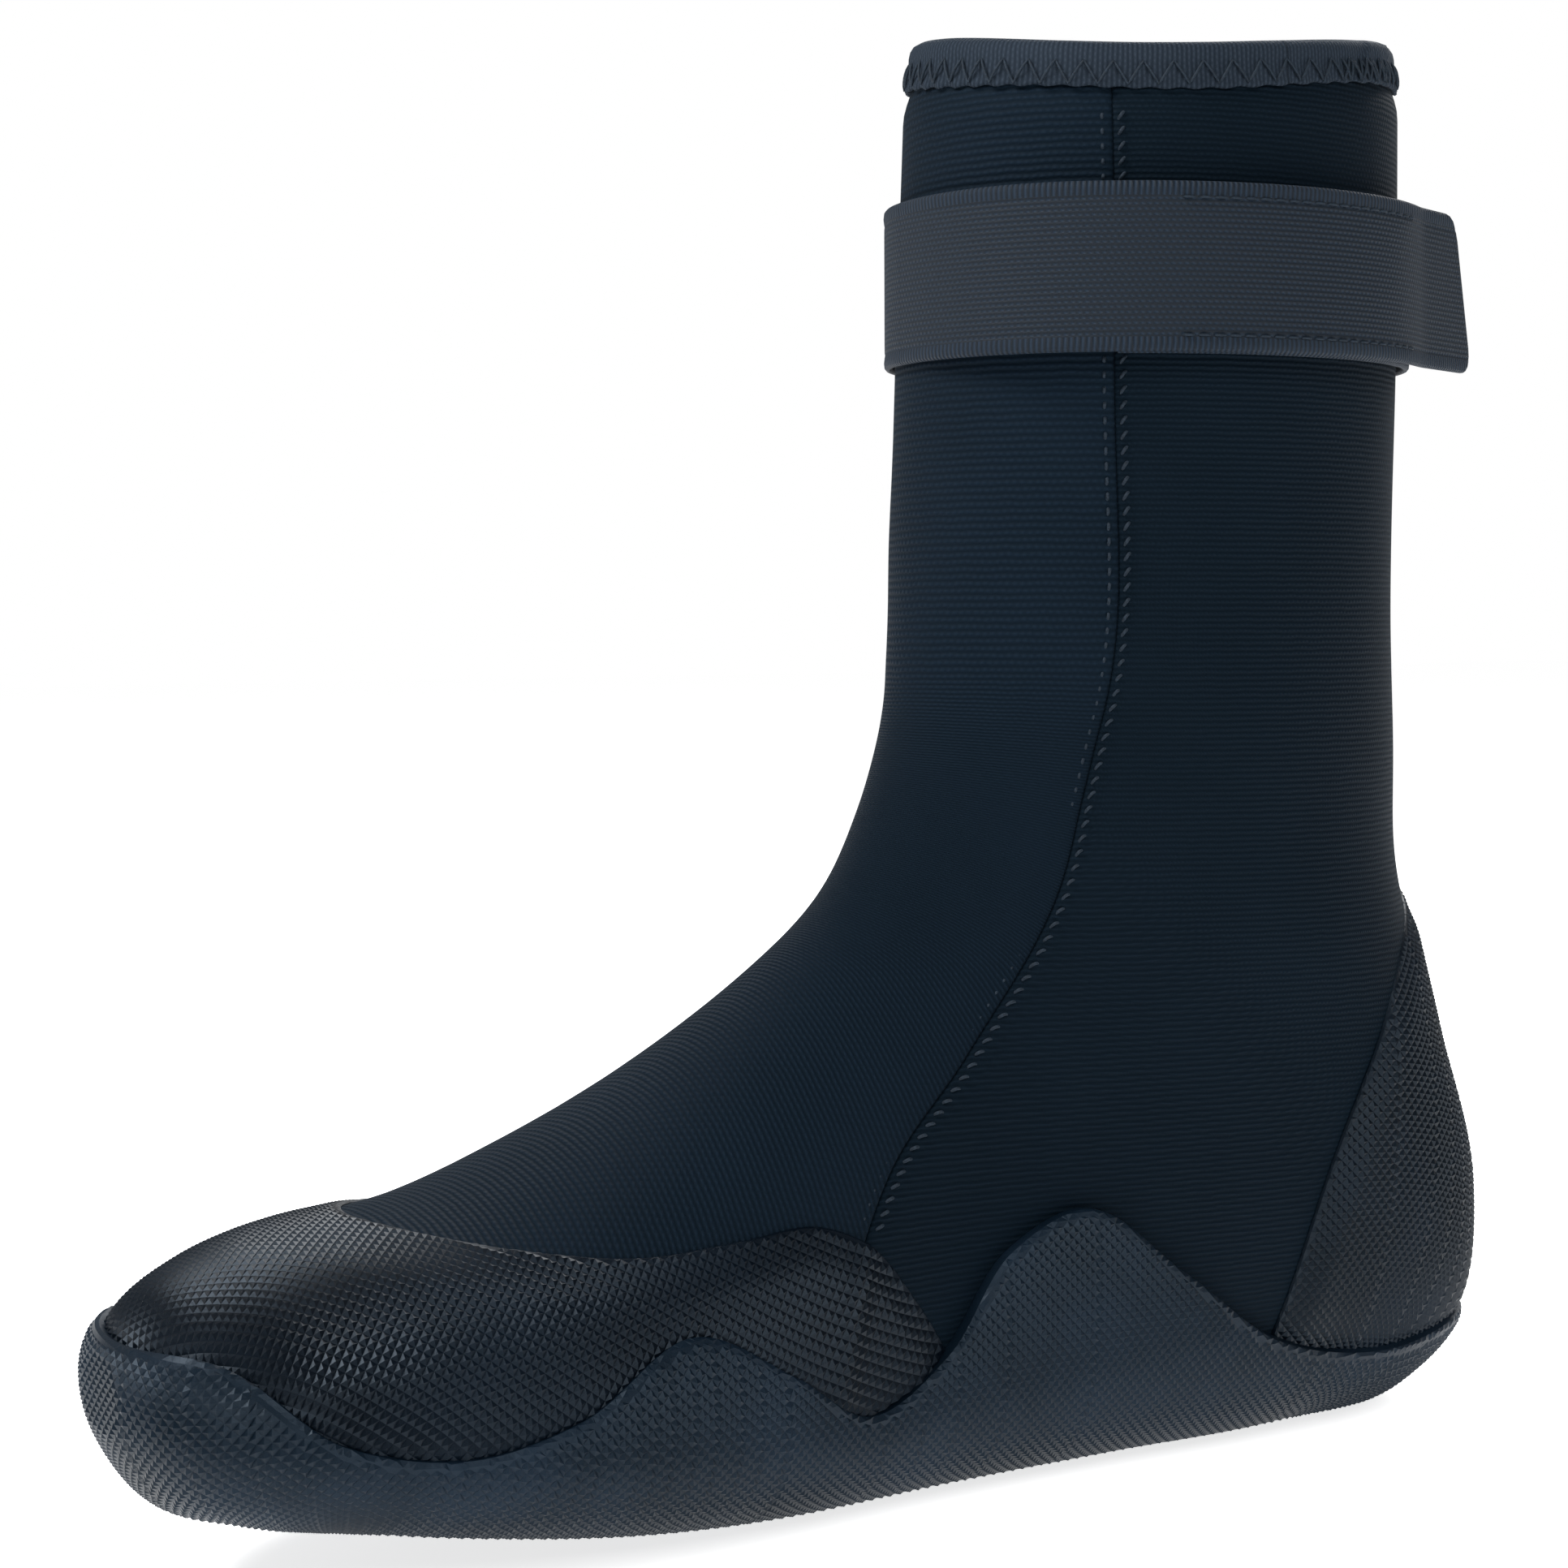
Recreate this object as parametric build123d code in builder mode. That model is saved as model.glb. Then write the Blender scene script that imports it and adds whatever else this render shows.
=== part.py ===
"""Neoprene water-sports boot, right foot, with a hook-and-loop ankle strap.

Frame: +Z up, the toe points to -Y, the inner (medial) side of the foot faces +X.
The origin is on the ground under the middle of the shaft. Lengths are millimetres.
"""

from build123d import *
from collections import namedtuple
from math import copysign, cos, hypot, radians, sin
import os

os.makedirs("parts", exist_ok=True)

# Layers of the boot, as distances from the outside of the neoprene.
NEOPRENE = 5.0  # wall thickness of the sock
GLUE = 0.25  # glue line between two layers or two panel edges
CAP_RUBBER = 1.6  # toe and heel caps
SOLE_WALL = 3.4  # outside of the outsole's rim
THREAD = 0.4  # height of a flat row of thread
TAPE = 0.5  # seam tape inside
TAPE_WIDTH = 20.0
LAP = 8.0  # how far the caps run down behind the outsole's rim

# Ankle strap.
STRAP_LOW = 206.0
STRAP_WIDTH = 30.0
WEB = 1.4  # thickness of the webbing
PILE = 0.9  # thickness of the hook patch and of the loop patch
STRAP_GAP = 0.9  # clearance over the shaft and its seam
PATCH_MARGIN = 1.0  # the patches are narrower than the webbing by this at each edge
LAYER_GAP = 0.1
SWING_GAP = 0.4  # between two lengths of webbing that swing on each other, in degrees
SIDE_ANGLE = 203.0  # where the fixed webbing ends, on the outer side of the leg
FRONT_ANGLE = 321.0  # where the front length hands over to the closing end
END_ANGLE = 400.0  # where the closing end leaves the leg as a straight tab
TAB_TURN = 10.0  # the tab is lifted off the tangent by this angle
TAB_TOP = 17.0  # length of the tab's upper edge
TAB_LOW = 25.0  # length of the tab's lower edge
LOOP_START = -38.0  # the fixed webbing and the loop patch on it start here
LOOP_END = 52.0
HOOK_END = 396.0
STITCH_LENGTH = 2.2
STITCH_INSET = 3.0  # from the webbing's edges
ANCHOR_SPREAD = 14.0  # half the angle of the box of stitches at the back
ANCHOR_COUNT = 7
ANCHOR_PITCH = (STRAP_WIDTH - 2 * STITCH_INSET) / ANCHOR_COUNT
END_STITCHES = 18

# Collar.
BINDING = 0.9  # thickness of the knitted binding
COLLAR_GAP = 0.4  # between the neoprene and the binding's outer leg
BINDING_DEPTH = 8.0  # how far it reaches down the shaft
ZIGZAG_PITCH = 4.5
ZIGZAG_RISE = 4.2
ZIGZAG_DEPTH = 4.6  # its middle, below the neoprene's top edge
STITCH_WIDTH = 4.5
SEAM_TOP = 252.0  # the seam's tape and thread end below the binding

REACH = 90.0  # half length of a cut across the boot
OUTLINE_POINTS = 24

# A station is one closed cross-section of the boot. front and back are its two ends in
# the middle plane (y, z). ridge is the x of that middle line, medial and lateral are the
# half widths to each side of it, widest is the share of the height where it is widest,
# corner is the exponent of its lower half (2 is an ellipse) and sole is the rubber
# underneath or behind it.
Station = namedtuple("Station", "front back ridge medial lateral widest corner sole")
STATIONS = [
    Station((-209.8, 39.5), (-209.8, 33.5), 4.5, 6, 6, 0.50, 2.0, 3.4),
    Station((-208, 43.5), (-208, 29.5), 4.5, 13, 13, 0.50, 2.0, 3.6),
    Station((-203.5, 48.8), (-203.5, 23), 4.5, 21.5, 21.5, 0.48, 2.1, 4.3),
    Station((-193, 54), (-193, 19), 3, 31, 31, 0.45, 2.2, 5.0),
    Station((-176, 58.4), (-176, 15), 1, 37.5, 38, 0.41, 2.2, 5.0),
    Station((-153, 62.2), (-153, 10.8), 0, 40.5, 44, 0.36, 2.3, 5.0),
    Station((-130, 70.8), (-127, 7), 0, 40, 47, 0.32, 2.3, 5.2),
    Station((-106.5, 83), (-96, 5), 0, 36, 45, 0.28, 2.35, 5.6),
    Station((-86.3, 97.6), (-61, 5), 0, 32, 41.5, 0.27, 2.4, 5.8),
    Station((-69.2, 110.9), (-23, 5), 0, 32, 38, 0.29, 2.4, 6.2),
    Station((-62.6, 126.2), (16, 5), 0, 34.8, 36.8, 0.32, 2.35, 6.6),
    Station((-59.8, 138.2), (49.5, 6.5), 0, 37, 37, 0.38, 2.2, 5.4),
    Station((-58, 146.2), (68, 17), 0, 38, 37.5, 0.42, 2.1, 3.8),
    Station((-56.9, 154.2), (71.4, 38), 0, 38.8, 38.5, 0.46, 2.05, 3.4),
    Station((-55.5, 164.2), (62.8, 69), 0, 39.4, 39.4, 0.50, 2.0, 3.4),
    Station((-54.4, 176.1), (51.9, 105), 0, 40, 40, 0.50, 2.0, 3.4),
    Station((-53.2, 192), (49.6, 150), 0, 40.6, 40.6, 0.50, 2.0, 3.4),
    Station((-52.1, 220), (50, 205), 0, 41.1, 41.1, 0.50, 2.0, 3.4),
    Station((-50.7, 252), (50.2, 255), 0, 40.5, 40.5, 0.50, 2.0, 3.4),
    Station((-50.2, 265), (50.2, 267.3), 0, 40.2, 40.2, 0.50, 2.0, 3.4),
]
ANKLE = 12  # the station through the heel, where the loft of the foot meets the shaft's
TOE_ROUND_START = -185.0  # ahead of this y a grown layer also moves forward
TOE_ROUND_LENGTH = 26.0

# Lines on the side of the boot, as (y, z), seen along X.
SEAM_LINE = [(-32.5, 280), (-33, 205), (-34, 140), (-42, 107), (-60, 81), (-78, 62)]
SEAM_LINE += [(-89, 43), (-94, 26), (-97, 0)]
SOLE_SEAM = [(-220, 39), (-203, 32), (-176, 23), (-127, 15), (-61, 13.5), (16, 13.5)]
SOLE_SEAM += [(50, 15.5), (80, 25)]
INSOLE_LINE = [(-215, 38), (-198, 30), (-176, 23.6), (-127, 15.2), (-61, 13.3), (16, 13.3)]
INSOLE_LINE += [(50, 15), (80, 24)]
CAP_LINE = [(-190, 65), (-170, 61.8), (-150, 57.6), (-130, 54.8), (-110, 55.2)]
CAP_LINE += [(-94, 55.4), (-85, 51.5), (-75, 39.5), (-66, 24), (-58, 5)]
HEEL_LINE = [(90, 116), (58, 111), (36, 97), (22, 74), (12, 52), (5, 28), (1, 5)]
RIM_LINE = [(-225, 43), (-203, 45.3), (-186, 32), (-166, 27.3), (-147, 31), (-124, 41.8)]
RIM_LINE += [(-104, 32), (-87, 22.3), (-71, 30), (-56, 47), (-41, 53), (-20, 39.5)]
RIM_LINE += [(3, 23.5), (30, 16.8), (60, 18), (90, 24)]


def rim_station(depth):
    """A cross-section of the shaft at a depth below its top edge."""
    top, lower = STATIONS[-1], STATIONS[-2]
    share = depth / (top.front[1] - lower.front[1])
    front = (top.front[0] + share * (lower.front[0] - top.front[0]), top.front[1] - depth)
    side = top.medial + share * (lower.medial - top.medial)
    back = (top.back[0], top.back[1] - depth)
    return top._replace(front=front, back=back, medial=side, lateral=side)


def section(station, grow, with_sole=False):
    """Face of one station, grown outwards by a layer's distance."""
    lead = max(0.0, (TOE_ROUND_START - station.front[0]) / TOE_ROUND_LENGTH) * grow
    rise_y = station.front[0] - station.back[0]
    rise_z = station.front[1] - station.back[1]
    height = hypot(rise_y, rise_z)
    upper = height * (1 - station.widest) + grow
    lower = height * station.widest + (station.sole if with_sole else grow)
    middle_y = station.back[0] + rise_y * station.widest - lead
    middle_z = station.back[1] + rise_z * station.widest
    normal = (0, -rise_z, rise_y)
    plane = Plane(origin=(0, middle_y, middle_z), x_dir=(1, 0, 0), z_dir=normal)
    points = []
    for step in range(OUTLINE_POINTS):
        angle = radians(360 * step / OUTLINE_POINTS - 90)
        across, along = cos(angle), sin(angle)
        power = 1.0 if along >= 0 else 2 / station.corner
        width = (station.medial if across >= 0 else station.lateral) + grow
        reach = upper if along >= 0 else lower
        x = station.ridge + width * copysign(abs(across) ** power, across)
        points.append((x, reach * copysign(abs(along) ** power, along)))
    with BuildSketch(plane) as face:
        with BuildLine():
            Polyline(*points, close=True)
        make_face()
    return face.sketch


def boot_form(grow, first=0, with_sole=False):
    """Closed solid inside one surface of the boot."""
    with BuildPart() as form:
        loft(sections=[section(s, grow, with_sole) for s in STATIONS[first : ANKLE + 1]])
        loft(sections=[section(s, grow, with_sole) for s in STATIONS[ANKLE:]])
    return form.part


def below(line, lift=0.0):
    """Region of the side view under a line, moved up by lift."""
    points = [(y, z + lift) for y, z in line]
    floor = -40.0
    with BuildSketch(Plane.YZ) as region:
        with BuildLine():
            Spline(*points)
            Polyline(points[-1], (points[-1][0], floor), (points[0][0], floor), points[0])
        make_face()
    return region.sketch


def ahead(line, shift=0.0):
    """Region of the side view on the toe side of a line, moved back by shift."""
    points = [(y + shift, z) for y, z in line]
    front, ceiling = -250.0, 300.0
    with BuildSketch(Plane.YZ) as region:
        with BuildLine():
            Spline(*points)
            Polyline(points[-1], (front, points[-1][1]), (front, ceiling))
            Polyline((front, ceiling), (points[0][0], ceiling), points[0])
        make_face()
    return region.sketch


def keep(region):
    """Keep only what lies inside a region of the side view."""
    extrude(region, amount=REACH, both=True, mode=Mode.INTERSECT)


def drop(region):
    """Remove what lies inside a region of the side view."""
    extrude(region, amount=REACH, both=True, mode=Mode.SUBTRACT)


def one_side(side):
    """The space below the collar on the inner (1) or the outer (-1) side of the foot."""
    with BuildPart() as space:
        with Locations((side * REACH, 0, SEAM_TOP / 2)):
            Box(2 * REACH - 2, 800, SEAM_TOP)
    return space.part


def strap_point(angle, distance):
    """Point (x, y) round the leg at the strap's height, at a distance from the shaft."""
    middle_y, half_x, half_y = -1.0, 41.1, 51.2
    turn = radians(angle)
    return ((half_x + distance) * cos(turn), middle_y + (half_y + distance) * sin(turn))


def front_distance(angle):
    """The front length climbs from the shaft onto the patches."""
    start, end = 262.0, FRONT_ANGLE - 4
    low, high = STRAP_GAP, END_DISTANCE
    share = min(1.0, max(0.0, (angle - start) / (end - start)))
    return low + (high - low) * share * share * (3 - 2 * share)


LOOP_DISTANCE = STRAP_GAP + WEB + LAYER_GAP
HOOK_DISTANCE = LOOP_DISTANCE + PILE + LAYER_GAP
END_DISTANCE = HOOK_DISTANCE + PILE + LAYER_GAP


def band_face(start, end, distance, thickness, low):
    """Face of a band round the leg, between two angles."""
    steps = max(3, round((end - start) / 14))
    angles = [start + (end - start) * step / steps for step in range(steps + 1)]
    inner = [strap_point(a, distance(a)) for a in angles]
    outer = [strap_point(a, distance(a) + thickness) for a in angles]
    with BuildSketch(Plane.XY.offset(low)) as face:
        with BuildLine():
            Spline(*inner)
            Line(inner[-1], outer[-1])
            Spline(*reversed(outer))
            Line(outer[0], inner[0])
        make_face()
    return face.sketch


def leg_plane(angle, distance, z, lift=0):
    """Plane on the strap, its x along the strap and its z pointing outwards. Its x can be
    lifted off the leg by an angle."""
    x, y = strap_point(angle, distance)
    ahead_x, ahead_y = strap_point(angle + 0.5, distance)
    behind_x, behind_y = strap_point(angle - 0.5, distance)
    along = Vector(ahead_x - behind_x, ahead_y - behind_y, 0).rotate(Axis.Z, -lift)
    return Plane(origin=(x, y, z), x_dir=along, z_dir=(along.Y, -along.X, 0))


# ---------------------------------------------------------------- forms shared by the parts
outside = boot_form(0)
cavity = boot_form(-NEOPRENE, first=1)
bond = boot_form(GLUE)
cap_outside = boot_form(GLUE + CAP_RUBBER)

with BuildPart() as sock:
    add(outside)
    add(cavity, mode=Mode.SUBTRACT)

# ---------------------------------------------------------------- neoprene panels
with BuildPart() as front_panel:
    add(sock.part)
    keep(ahead(SEAM_LINE, -GLUE / 2))
    drop(below(SOLE_SEAM, GLUE / 2))
front_panel.part.label = "front_panel"
export_step(front_panel.part, "parts/front_panel.step")

with BuildPart() as back_panel:
    add(sock.part)
    drop(ahead(SEAM_LINE, GLUE / 2))
    drop(below(SOLE_SEAM, GLUE / 2))
back_panel.part.label = "back_panel"
export_step(back_panel.part, "parts/back_panel.step")

with BuildPart() as sole_panel:
    add(sock.part)
    keep(below(SOLE_SEAM, -GLUE / 2))
sole_panel.part.label = "sole_panel"
export_step(sole_panel.part, "parts/sole_panel.step")

# ---------------------------------------------------------------- inside the boot
with BuildPart() as insole:
    add(boot_form(-NEOPRENE - GLUE, first=2))
    keep(below(INSOLE_LINE, 0))
insole.part.label = "insole"
export_step(insole.part, "parts/insole.step")

with BuildPart() as tape_band:
    add(boot_form(-NEOPRENE - GLUE, first=2))
    add(boot_form(-NEOPRENE - GLUE - TAPE, first=2), mode=Mode.SUBTRACT)
    keep(ahead(SEAM_LINE, TAPE_WIDTH / 2))
    drop(ahead(SEAM_LINE, -TAPE_WIDTH / 2))
    drop(below(INSOLE_LINE, GLUE))
for side, name in ((1, "seam_tape_medial"), (-1, "seam_tape_lateral")):
    with BuildPart() as seam_tape:
        add(tape_band)
        add(one_side(side), mode=Mode.INTERSECT)
    seam_tape.part.label = name
    export_step(seam_tape.part, f"parts/{name}.step")

# ---------------------------------------------------------------- rubber
cap_region = below(CAP_LINE)
heel_region = ahead(HEEL_LINE)
with BuildPart() as toe_cap:
    add(cap_outside)
    add(bond, mode=Mode.SUBTRACT)
    keep(cap_region)
    drop(below(RIM_LINE, -LAP))
toe_cap.part.label = "toe_cap"
export_step(toe_cap.part, "parts/toe_cap.step")

with BuildPart() as heel_cap:
    add(cap_outside)
    add(bond, mode=Mode.SUBTRACT)
    drop(heel_region)
    drop(below(RIM_LINE, -LAP))
heel_cap.part.label = "heel_cap"
export_step(heel_cap.part, "parts/heel_cap.step")

cap_cover = boot_form(GLUE + CAP_RUBBER + GLUE)
with BuildPart() as toe_cap_space:
    add(cap_cover)
    keep(below(CAP_LINE, 2 * GLUE))
    drop(below(RIM_LINE, -LAP - GLUE))
with BuildPart() as heel_cap_space:
    add(cap_cover)
    drop(ahead(HEEL_LINE, -GLUE))
    drop(below(RIM_LINE, -LAP - GLUE))
with BuildPart() as outsole:
    add(boot_form(SOLE_WALL, with_sole=True))
    add(bond, mode=Mode.SUBTRACT)
    keep(below(RIM_LINE))
    add(toe_cap_space.part, mode=Mode.SUBTRACT)
    add(heel_cap_space.part, mode=Mode.SUBTRACT)
    with Locations((0, 0, -50)):
        Box(400, 800, 100, mode=Mode.SUBTRACT)
outsole.part.label = "outsole"
export_step(outsole.part, "parts/outsole.step")

# ---------------------------------------------------------------- side seams
with BuildPart() as stitch_band:
    add(boot_form(GLUE + THREAD))
    add(bond, mode=Mode.SUBTRACT)
    keep(ahead(SEAM_LINE, STITCH_WIDTH / 2))
    drop(ahead(SEAM_LINE, -STITCH_WIDTH / 2))
    drop(below(CAP_LINE, STITCH_WIDTH / 2))
for side, name in ((1, "seam_stitch_medial"), (-1, "seam_stitch_lateral")):
    with BuildPart() as seam_stitch:
        add(stitch_band)
        add(one_side(side), mode=Mode.INTERSECT)
    seam_stitch.part.label = name
    export_step(seam_stitch.part, f"parts/{name}.step")


# ---------------------------------------------------------------- collar
def collar_form(grow, low, high):
    """Closed solid round the shaft's top, between two depths below the top edge."""
    return loft(sections=[section(rim_station(low), grow), section(rim_station(high), grow)])


def collar_cut(grow, low, high):
    """The same solid, taken away from the current part."""
    sections = [section(rim_station(low), grow), section(rim_station(high), grow)]
    loft(sections=sections, mode=Mode.SUBTRACT)


top = -GLUE - BINDING
with BuildPart() as collar_binding:
    collar_form(COLLAR_GAP + BINDING, BINDING_DEPTH, top)
    collar_cut(COLLAR_GAP, BINDING_DEPTH + 1, -GLUE)
    collar_form(-NEOPRENE - GLUE, BINDING_DEPTH, top)
    collar_cut(-NEOPRENE - GLUE - BINDING, BINDING_DEPTH + 1, top - 1)
collar_binding.part.label = "collar_binding"
export_step(collar_binding.part, "parts/collar_binding.step")

# A zigzag of short threads all round the binding.
rim = rim_station(ZIGZAG_DEPTH)
half_x = rim.medial + COLLAR_GAP + BINDING + THREAD / 2
half_y = (rim.back[0] - rim.front[0]) / 2 + COLLAR_GAP + BINDING + THREAD / 2
zigzag_count = 2 * round(3.1416 * (half_x + half_y) / ZIGZAG_PITCH)
zigzag_length = hypot(ZIGZAG_RISE, ZIGZAG_PITCH / 2) - 3 * THREAD
with BuildPart() as collar_stitch:
    for step in range(zigzag_count):
        turn = radians(360 * step / zigzag_count)
        x, y = half_x * cos(turn), half_y * sin(turn)
        slope = (rim.back[1] - rim.front[1]) / (rim.back[0] - rim.front[0])
        z = (rim.back[1] + rim.front[1]) / 2 + slope * y
        outwards = (cos(turn) / half_x, sin(turn) / half_y, 0)
        spread = hypot(outwards[0], outwards[1])
        lean = ZIGZAG_PITCH / 2 / spread * (1 if step % 2 else -1)
        along = (-outwards[1] * lean, outwards[0] * lean, ZIGZAG_RISE)
        with BuildSketch(Plane(origin=(x, y, z), x_dir=along, z_dir=outwards)):
            Rectangle(zigzag_length, 1.5 * THREAD)
        extrude(amount=THREAD)
collar_stitch.part.label = "collar_stitch"
export_step(collar_stitch.part, "parts/collar_stitch.step")


# ---------------------------------------------------------------- ankle strap
def at(distance):
    """A distance from the shaft that doesn't change along the strap."""
    return lambda angle: distance


patch_low = STRAP_LOW + PATCH_MARGIN
patch_width = STRAP_WIDTH - 2 * PATCH_MARGIN

with BuildPart() as strap_anchor:
    extrude(band_face(LOOP_START, SIDE_ANGLE, at(STRAP_GAP), WEB, STRAP_LOW), STRAP_WIDTH)
strap_anchor.part.label = "strap_anchor"
export_step(strap_anchor.part, "parts/strap_anchor.step")

with BuildPart() as loop_patch:
    face = band_face(LOOP_START + 2, LOOP_END, at(LOOP_DISTANCE), PILE, patch_low)
    extrude(face, patch_width)
loop_patch.part.label = "loop_patch"
export_step(loop_patch.part, "parts/loop_patch.step")

with BuildPart() as strap_front:
    start = SIDE_ANGLE + SWING_GAP
    extrude(band_face(start, FRONT_ANGLE, front_distance, WEB, STRAP_LOW), STRAP_WIDTH)
strap_front.part.label = "strap_front"
export_step(strap_front.part, "parts/strap_front.step")

with BuildPart() as hook_patch:
    face = band_face(FRONT_ANGLE + 6, HOOK_END, at(HOOK_DISTANCE), PILE, patch_low)
    extrude(face, patch_width)
hook_patch.part.label = "hook_patch"
export_step(hook_patch.part, "parts/hook_patch.step")

# The closing end follows the leg, then runs straight on as a tab with a slanted end.
tab_plane = leg_plane(END_ANGLE, END_DISTANCE, STRAP_LOW, TAB_TURN)
with BuildPart() as strap_end:
    start = FRONT_ANGLE + SWING_GAP
    extrude(band_face(start, END_ANGLE, at(END_DISTANCE), WEB, STRAP_LOW), STRAP_WIDTH)
    with BuildSketch(tab_plane):
        with BuildLine():
            Polyline((0, 0), (TAB_LOW, 0), (TAB_TOP, STRAP_WIDTH), (0, STRAP_WIDTH), close=True)
        make_face()
    extrude(amount=WEB)
strap_end.part.label = "strap_end"
export_step(strap_end.part, "parts/strap_end.step")


def stitch_row(start, end, count, distance, z):
    """A row of short threads along the strap, on its outer face."""
    for step in range(count):
        angle = start + (end - start) * (step + 0.5) / count
        with BuildSketch(leg_plane(angle, distance, z)) as thread:
            Rectangle(STITCH_LENGTH, 1.5 * THREAD)
        extrude(thread.sketch, amount=THREAD)


# The fixed webbing is sewn to the back of the shaft by a box of stitches.
with BuildPart() as anchor_stitch:
    surface = STRAP_GAP + WEB + LAYER_GAP
    for z in (STRAP_LOW + STITCH_INSET, STRAP_LOW + STRAP_WIDTH - STITCH_INSET):
        stitch_row(90 - ANCHOR_SPREAD, 90 + ANCHOR_SPREAD, ANCHOR_COUNT, surface, z)
    for angle in (90 - ANCHOR_SPREAD - 2, 90 + ANCHOR_SPREAD + 2):
        for step in range(ANCHOR_COUNT):
            z = STRAP_LOW + STITCH_INSET + (step + 0.5) * ANCHOR_PITCH
            with BuildSketch(leg_plane(angle, surface, z)) as thread:
                Rectangle(1.5 * THREAD, STITCH_LENGTH)
            extrude(thread.sketch, amount=THREAD)
anchor_stitch.part.label = "anchor_stitch"
export_step(anchor_stitch.part, "parts/anchor_stitch.step")

# Two rows hold the hook patch on the closing end.
with BuildPart() as strap_end_stitch:
    surface = END_DISTANCE + WEB + LAYER_GAP
    for z in (STRAP_LOW + STITCH_INSET, STRAP_LOW + STRAP_WIDTH - STITCH_INSET):
        stitch_row(FRONT_ANGLE + 7, HOOK_END - 1, END_STITCHES, surface, z)
strap_end_stitch.part.label = "strap_end_stitch"
export_step(strap_end_stitch.part, "parts/strap_end_stitch.step")
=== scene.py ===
"""Looks of the neoprene boot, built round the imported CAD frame.

Shapes are worked out in millimetres in the CAD's own frame (+Z up, toe to -Y, inner
side of the foot to +X) and become metres when a mesh is made.
"""

from math import cos, pi, radians, sin

import bpy
import numpy as np
from mathutils import Matrix, Vector
from mathutils.bvhtree import BVHTree


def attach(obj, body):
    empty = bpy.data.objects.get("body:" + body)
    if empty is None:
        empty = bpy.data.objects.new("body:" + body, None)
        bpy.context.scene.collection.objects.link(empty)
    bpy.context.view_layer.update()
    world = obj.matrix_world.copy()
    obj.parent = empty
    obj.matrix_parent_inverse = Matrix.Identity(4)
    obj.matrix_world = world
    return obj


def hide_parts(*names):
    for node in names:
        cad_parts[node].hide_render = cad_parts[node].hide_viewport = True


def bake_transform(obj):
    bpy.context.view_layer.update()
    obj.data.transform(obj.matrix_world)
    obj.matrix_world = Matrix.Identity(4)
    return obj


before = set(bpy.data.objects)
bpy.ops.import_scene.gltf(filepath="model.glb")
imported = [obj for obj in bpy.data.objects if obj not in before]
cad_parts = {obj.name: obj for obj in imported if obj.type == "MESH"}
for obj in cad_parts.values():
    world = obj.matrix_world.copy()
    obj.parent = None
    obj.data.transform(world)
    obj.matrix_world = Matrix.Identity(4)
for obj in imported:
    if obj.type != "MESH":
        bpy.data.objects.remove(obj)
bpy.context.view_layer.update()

MM = 0.001

# ------------------------ the boot's surface
# A row for each section from the tip of the toe to the collar: y and z of its ridge, y and z
# of its underside or back, x of its ridge, its width to the inner and to the outer side, the
# share of its height where it is widest, how square its corners are, and the sole under it.
STATIONS = np.array(
    [
        (-209.8, 39.5, -209.8, 33.5, 4.5, 6, 6, 0.50, 2.0, 3.4),
        (-208, 43.5, -208, 29.5, 4.5, 13, 13, 0.50, 2.0, 3.6),
        (-203.5, 48.8, -203.5, 23, 4.5, 21.5, 21.5, 0.48, 2.1, 4.3),
        (-193, 54, -193, 19, 3, 31, 31, 0.45, 2.2, 5.0),
        (-176, 58.4, -176, 15, 1, 37.5, 38, 0.41, 2.2, 5.0),
        (-153, 62.2, -153, 10.8, 0, 40.5, 44, 0.36, 2.3, 5.0),
        (-130, 70.8, -127, 7, 0, 40, 47, 0.32, 2.3, 5.2),
        (-106.5, 83, -96, 5, 0, 36, 45, 0.28, 2.35, 5.6),
        (-86.2, 96.3, -61, 5, 0, 32, 41.5, 0.27, 2.4, 5.8),
        (-72.2, 110, -23, 5, 0, 32, 38, 0.29, 2.4, 6.2),
        (-63.7, 125.4, 16, 5, 0, 34.8, 36.8, 0.32, 2.35, 6.6),
        (-60, 137.6, 49.5, 6.5, 0, 37, 37, 0.38, 2.2, 5.4),
        (-58.4, 146.2, 68, 17, 0, 38, 37.5, 0.42, 2.1, 3.8),
        (-57.2, 154.2, 71.4, 38, 0, 38.8, 38.5, 0.46, 2.05, 3.4),
        (-55.5, 164.2, 62.8, 69, 0, 39.4, 39.4, 0.50, 2.0, 3.4),
        (-54.4, 176.1, 51.9, 105, 0, 40, 40, 0.50, 2.0, 3.4),
        (-53.2, 192, 49.6, 150, 0, 40.6, 40.6, 0.50, 2.0, 3.4),
        (-52.1, 220, 50, 205, 0, 41.1, 41.1, 0.50, 2.0, 3.4),
        (-50.7, 252, 50.2, 255, 0, 40.5, 40.5, 0.50, 2.0, 3.4),
        (-50.2, 265, 50.2, 267.3, 0, 40.2, 40.2, 0.50, 2.0, 3.4),
    ]
)
TOE_ROUND_START, TOE_ROUND_LENGTH = -185.0, 26.0
RIM_BLEND = 45.0
NEOPRENE = 5.0
CAP_GROW = 1.85
SOLE_GROW = 3.4

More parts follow.
